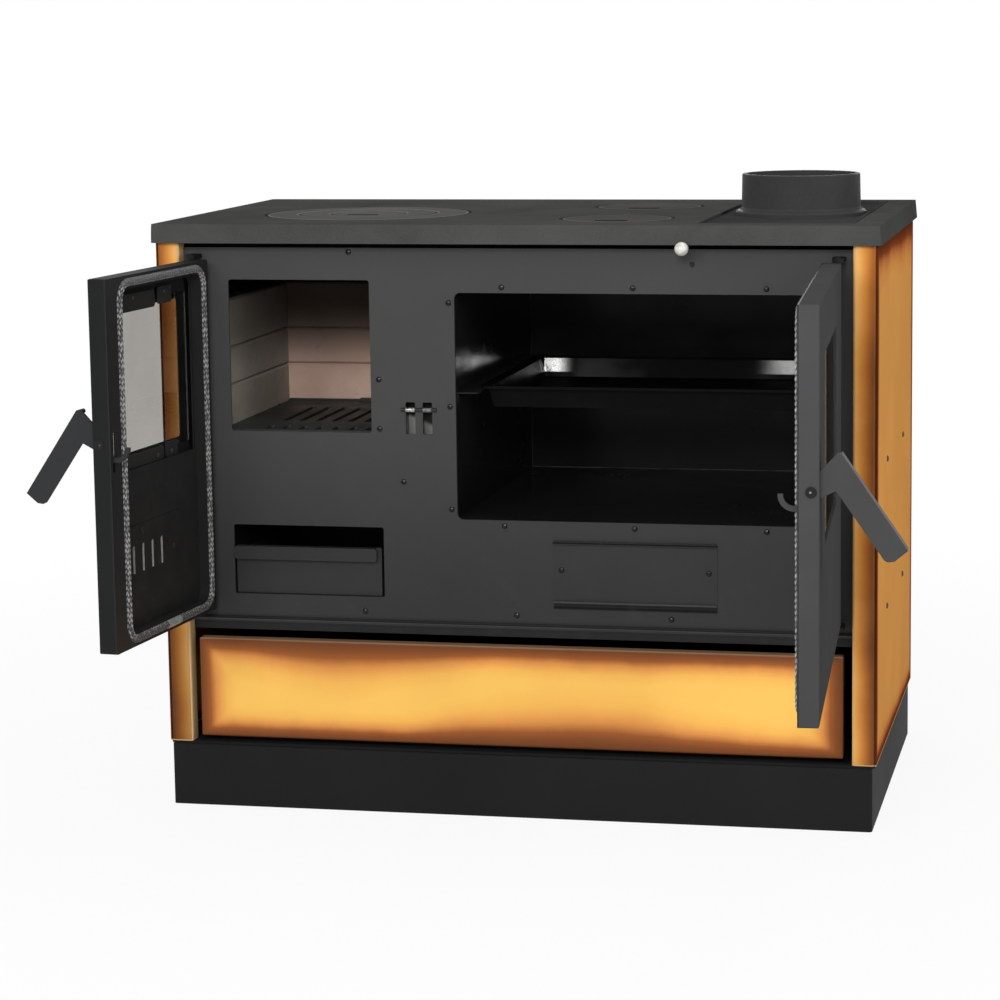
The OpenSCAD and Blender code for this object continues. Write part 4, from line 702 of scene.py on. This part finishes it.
def knitted_rope(name, node, joint, body, mat):
    """A knitted glass rope on the CAD seal's path: columns of slanting stitches round a soft core."""
    low, high, radius, y = seal_box(node, joint)
    path = rope_path(low[0] + radius, low[2] + radius, high[0] - radius, high[2] - radius, ROPE_CORNER,
                     ROPE_STEP)
    count = len(path)
    around = COLUMNS * PER_COLUMN
    tangent = np.roll(path, -1, 0) - np.roll(path, 1, 0)
    tangent /= np.linalg.norm(tangent, axis=1)[:, None]
    side = np.stack([tangent[:, 1], -tangent[:, 0]], 1)
    length = np.concatenate([[0], np.cumsum(np.linalg.norm(path[1:] - path[:-1], axis=1))])
    total = length[-1] + np.linalg.norm(path[0] - path[-1])
    rows = round(total / STITCH)
    rng = np.random.default_rng(7)
    fuzz = rng.normal(0, ROPE_FUZZ, (count, around))
    co = np.zeros((count, around, 3))
    for k in range(around):
        a = 2 * math.pi * k / around
        leg = abs((k / PER_COLUMN) % 1 - 0.5) * 2
        phase = (length / total * rows + leg * SLANT) % 1
        hill = math.sin(leg * math.pi) ** 0.5 * np.sin(phase * math.pi) ** 0.5
        r = radius - GROOVE * (1 - hill) + fuzz[:, k] - 0.0001
        co[:, k, 0] = path[:, 0] + side[:, 0] * r * math.cos(a)
        co[:, k, 1] = y + r * math.sin(a)
        co[:, k, 2] = path[:, 1] + side[:, 1] * r * math.cos(a)
    faces, uvs = [], []
    for i in range(count):
        j = (i + 1) % count
        u0 = length[i] / total * rows
        u1 = length[j] / total * rows if j else rows
        for k in range(around):
            m = (k + 1) % around
            faces.append((i * around + k, j * around + k, j * around + m, i * around + m))
            v0, v1 = k / PER_COLUMN, (k + 1) / PER_COLUMN
            uvs += [(u0, v0), (u1, v0), (u1, v1), (u0, v1)]
    mesh = smooth_mesh(name, [tuple(p) for p in co.reshape(-1, 3)], faces)
    layer = mesh.uv_layers.new(name="rope")
    layer.data.foreach_set("uv", np.array(uvs, np.float32).ravel())
    opened(mesh, joint)
    mesh.materials.append(mat)
    obj = link(name, mesh)
    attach(obj, body)
    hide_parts(node)


def rope_material(name):
    """Graphite yarns knitted with pale ones: each stitch is a slanting leg with its own tone. The upper and
    lower runs are greyed with painted shade."""
    g = Graph(name)
    uv = g.xyz(g.coord.outputs["UV"])
    column = g.math("FLOOR", uv[1])
    across = g.math("MULTIPLY", g.math("SUBTRACT", g.math("FRACT", uv[1]), 0.5), 2.0)
    leg = g.math("ABSOLUTE", across)
    slid = g.math("ADD", uv[0], g.math("MULTIPLY", leg, SLANT))
    phase = g.math("FRACT", slid)
    wide = g.steps(g.math("ABSOLUTE", g.math("SUBTRACT", leg, 0.5)), 0.25, 0.46, 1.0, 0.0)
    long = g.steps(g.math("ABSOLUTE", g.math("SUBTRACT", phase, 0.5)), 0.2, 0.44, 1.0, 0.0)
    body = g.math("MULTIPLY", wide, long)
    pick = g.hash(g.math("FLOOR", slid), column, g.math("SIGN", across))
    fibres = g.noise(1, 3, 0.6, g.scaled((30, 9, 1), vector=g.coord.outputs["UV"]))
    yarn = g.mix(g.steps(pick, 0.1, 0.7), srgb(104, 104, 104), srgb(200, 200, 197))
    yarn = g.mix(g.steps(fibres, 0.35, 0.65, 0.0, 0.4), yarn, srgb(128, 128, 126))
    base = g.mix(body, srgb(24, 24, 25), yarn)
    z = g.xyz()[2]
    # Painted shade: the upper and lower runs are greyed.
    base = g.mix(g.steps(z, ROPE_Z[1] - 0.014, ROPE_Z[1] - 0.006, 0.0, 0.7), base, srgb(82, 82, 85))
    base = g.mix(g.steps(z, ROPE_Z[0] + 0.006, ROPE_Z[0] + 0.014, 0.7, 0.0), base, srgb(58, 58, 58))
    return g.shade(base, 0.85, g.bump(g.math("ADD", body, fibres), 0.0004, 0.5), Sheen_Weight=0.1,
                   Specular_IOR_Level=0.2)


def joint_tape(name, node, joint, body, x0, x1):
    """The sleeve of silver tape round the rope's joint in its lower run."""
    low, _, radius, y = seal_box(node, joint)
    z = low[2] + radius
    rng = np.random.default_rng(11)
    rings, around = 40, 40
    co, faces = [], []
    for i in range(rings):
        t = i / (rings - 1)
        end = min(1.0, min(t, 1 - t) * 14)
        for k in range(around):
            a = 2 * math.pi * k / around
            r = radius + 0.00012 - 0.0004 * (1 - end) + rng.normal(0, TAPE_FUZZ)
            r -= 0.00025 * max(0, math.sin(a * 3 + t * 17)) ** 4
            co.append((x0 + (x1 - x0) * t, y + r * math.sin(a), z + r * math.cos(a)))
            if i:
                m = (k + 1) % around
                faces.append(((i - 1) * around + k, i * around + k, i * around + m, (i - 1) * around + m))
    mesh = smooth_mesh(name, co, faces)
    opened(mesh, joint)
    obj = link(name, mesh)
    g = Graph("silver_tape")
    creases = g.noise(180, 5, 0.7, warp=1.5)
    base = g.mix(g.steps(creases, 0.35, 0.65), srgb(112, 114, 114), srgb(172, 174, 172))
    mesh.materials.append(g.shade(base, g.steps(creases, 0.3, 0.7, 0.3, 0.5), g.bump(creases, 0.0012, 0.7),
                                  Metallic=0.15))
    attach(obj, body)


rope = rope_material("knitted_glass_rope")
knitted_rope("fire_door_rope", "fire_door_seal", "firebox_door_hinge", "firebox_door", rope)
knitted_rope("oven_door_rope", "oven_door_seal", "oven_door_hinge", "oven_door", rope)
TAPE_X = (-0.343, -0.299)
joint_tape("rope_joint_tape", "fire_door_seal", "firebox_door_hinge", "firebox_door", *TAPE_X)


# ---- Edges that catch the light -----------------------------------------------------------------

def soften(width, *names):
    """Rounds the sharp edges of pieces with a bevel."""
    for name in names:
        mod = nodes[name].modifiers.new("edge", "BEVEL")
        mod.width = width
        mod.segments = 2
        mod.limit_method = "ANGLE"
        mod.angle_limit = math.radians(40)
        mod.harden_normals = True


# ---- Stage, light and camera ---------------------------------------------------------------------

def stage_material():
    """Pale floor that shows nearly white to the camera, in gloss and through glass, and lets a little of
    the stove's shadow show near it."""
    g = Graph("pale_floor")
    path = g.node("ShaderNodeLightPath")
    seen = g.math("MAXIMUM", path.outputs["Is Camera Ray"],
                  g.math("MAXIMUM", path.outputs["Is Glossy Ray"], path.outputs["Is Transmission Ray"]))
    p = g.xyz()
    away = g.flat_distance(p[0], p[1])
    diffuse = g.node("ShaderNodeBsdfDiffuse")
    grain = g.noise(40, 3, 0.5)
    pale = g.ramp(grain, (0.3, (0.80, 0.80, 0.80, 1)), (0.7, (0.84, 0.84, 0.84, 1)))
    g.put(diffuse.inputs["Color"], pale)
    white = g.node("ShaderNodeEmission")
    white.inputs["Strength"].default_value = 1.0
    mix = g.node("ShaderNodeMixShader")
    g.put(mix.inputs[0], g.math("MULTIPLY", seen, g.steps(away, 0.7, 2.4, 0.9, 1.0)))
    g.put(mix.inputs[1], diffuse.outputs[0])
    g.put(mix.inputs[2], white.outputs[0])
    g.put(g.out.inputs["Surface"], mix.outputs[0])
    return g.mat


FLOOR_RADIUS, FLOOR_CORNERS = 14, 96


def floor():
    """A round floor at Z = 0."""
    turns = [2 * math.pi * k / FLOOR_CORNERS for k in range(FLOOR_CORNERS)]
    rim = [(FLOOR_RADIUS * math.cos(a), FLOOR_RADIUS * math.sin(a), 0.0) for a in turns]
    mesh = bpy.data.meshes.new("floor")
    mesh.from_pydata(rim, [], [tuple(range(FLOOR_CORNERS))])
    mesh.materials.append(stage_material())
    obj = link("floor", mesh)


def softbox(name, at, aim, width, height, power):
    """A rectangular lamp at a place, aimed at a point; power is in watts."""
    light = bpy.data.lights.new(name, "AREA")
    light.shape = "RECTANGLE"
    light.size, light.size_y = width, height
    light.energy = power
    obj = link(name, light)
    obj.location = at
    obj.rotation_mode = "QUATERNION"
    obj.rotation_quaternion = (Vector(aim) - Vector(at)).to_track_quat("-Z", "Y")


def sky():
    """Soft even light of 0.3, and plain white to the camera, in gloss and through glass."""
    world = bpy.data.worlds.new("studio")
    bpy.context.scene.world = world
    world.use_nodes = True
    tree = world.node_tree
    tree.nodes.clear()
    out = tree.nodes.new("ShaderNodeOutputWorld")
    path = tree.nodes.new("ShaderNodeLightPath")
    mix = tree.nodes.new("ShaderNodeMixShader")
    for slot, strength in ((1, 0.3), (2, 1.0)):
        light = tree.nodes.new("ShaderNodeBackground")
        light.inputs["Color"].default_value = (1, 1, 1, 1)
        light.inputs["Strength"].default_value = strength
        tree.links.new(light.outputs[0], mix.inputs[slot])
    glass, either = tree.nodes.new("ShaderNodeMath"), tree.nodes.new("ShaderNodeMath")
    glass.operation = either.operation = "MAXIMUM"
    tree.links.new(path.outputs["Is Glossy Ray"], glass.inputs[0])
    tree.links.new(path.outputs["Is Transmission Ray"], glass.inputs[1])
    tree.links.new(path.outputs["Is Camera Ray"], either.inputs[0])
    tree.links.new(glass.outputs[0], either.inputs[1])
    tree.links.new(either.outputs[0], mix.inputs[0])
    tree.links.new(mix.outputs[0], out.inputs[0])


def camera():
    """The photograph's viewpoint: place, direction and picture shift were fitted to the stove's edges."""
    yaw, pitch, roll = (math.radians(a) for a in (11.298, -8.139, 0.628))
    place = (0.896482, -4.311565, 1.127333)
    turn = Matrix.Rotation(yaw, 3, "Z") @ Matrix.Rotation(pitch, 3, "X") @ Matrix.Rotation(roll, 3, "Y")
    right, ahead, up = turn.col[0], turn.col[1], turn.col[2]
    data = bpy.data.cameras.new("camera")
    data.lens, data.sensor_width = 106.168, 36
    data.shift_x, data.shift_y = -0.0752, -0.0550
    data.clip_start, data.clip_end = 0.1, 100
    obj = link("camera", data)
    basis = Matrix((right, up, -ahead)).transposed().to_4x4()
    obj.matrix_world = Matrix.Translation(place) @ basis
    bpy.context.scene.camera = obj


# Name, place, point it is aimed at, width, height, watts
LAMPS = (("front_left", (-1.36, -4.6, 2.2), (-0.2, 0, 0.5), 0.9, 1.2, 45),
         ("front_right", (0.45, -4.6, 2.2), (0, 0, 0.5), 1.2, 1.2, 85),
         ("side", (3.4, -1.8, 1.7), (0.3, 0, 0.45), 1.8, 2.2, 45),
         ("left", (-3.4, -1.2, 1.8), (-0.4, 0, 0.45), 1.6, 1.8, 26),
         ("back", (0.3, 4.4, 2.2), (0, 0.3, 0.5), 2.4, 1.6, 34),
         ("top", (0.2, 0.4, 3.6), (0, 0, 0.8), 3.0, 2.0, 34))

soften(0.0006, "hob_top", "fire_door_skin", "oven_door_skin", "fire_door_handle", "oven_door_handle",
       "flue_plate", "cleaning_cover", "ash_drawer", "outer_ring", "inner_ring", "centre_disc",
       "front_cover", "rear_cover")
soften(0.0025, "plinth")
floor()
sky()
for lamp in LAMPS:
    softbox(*lamp)
camera()
scene = bpy.context.scene
scene.view_settings.view_transform = "Standard"
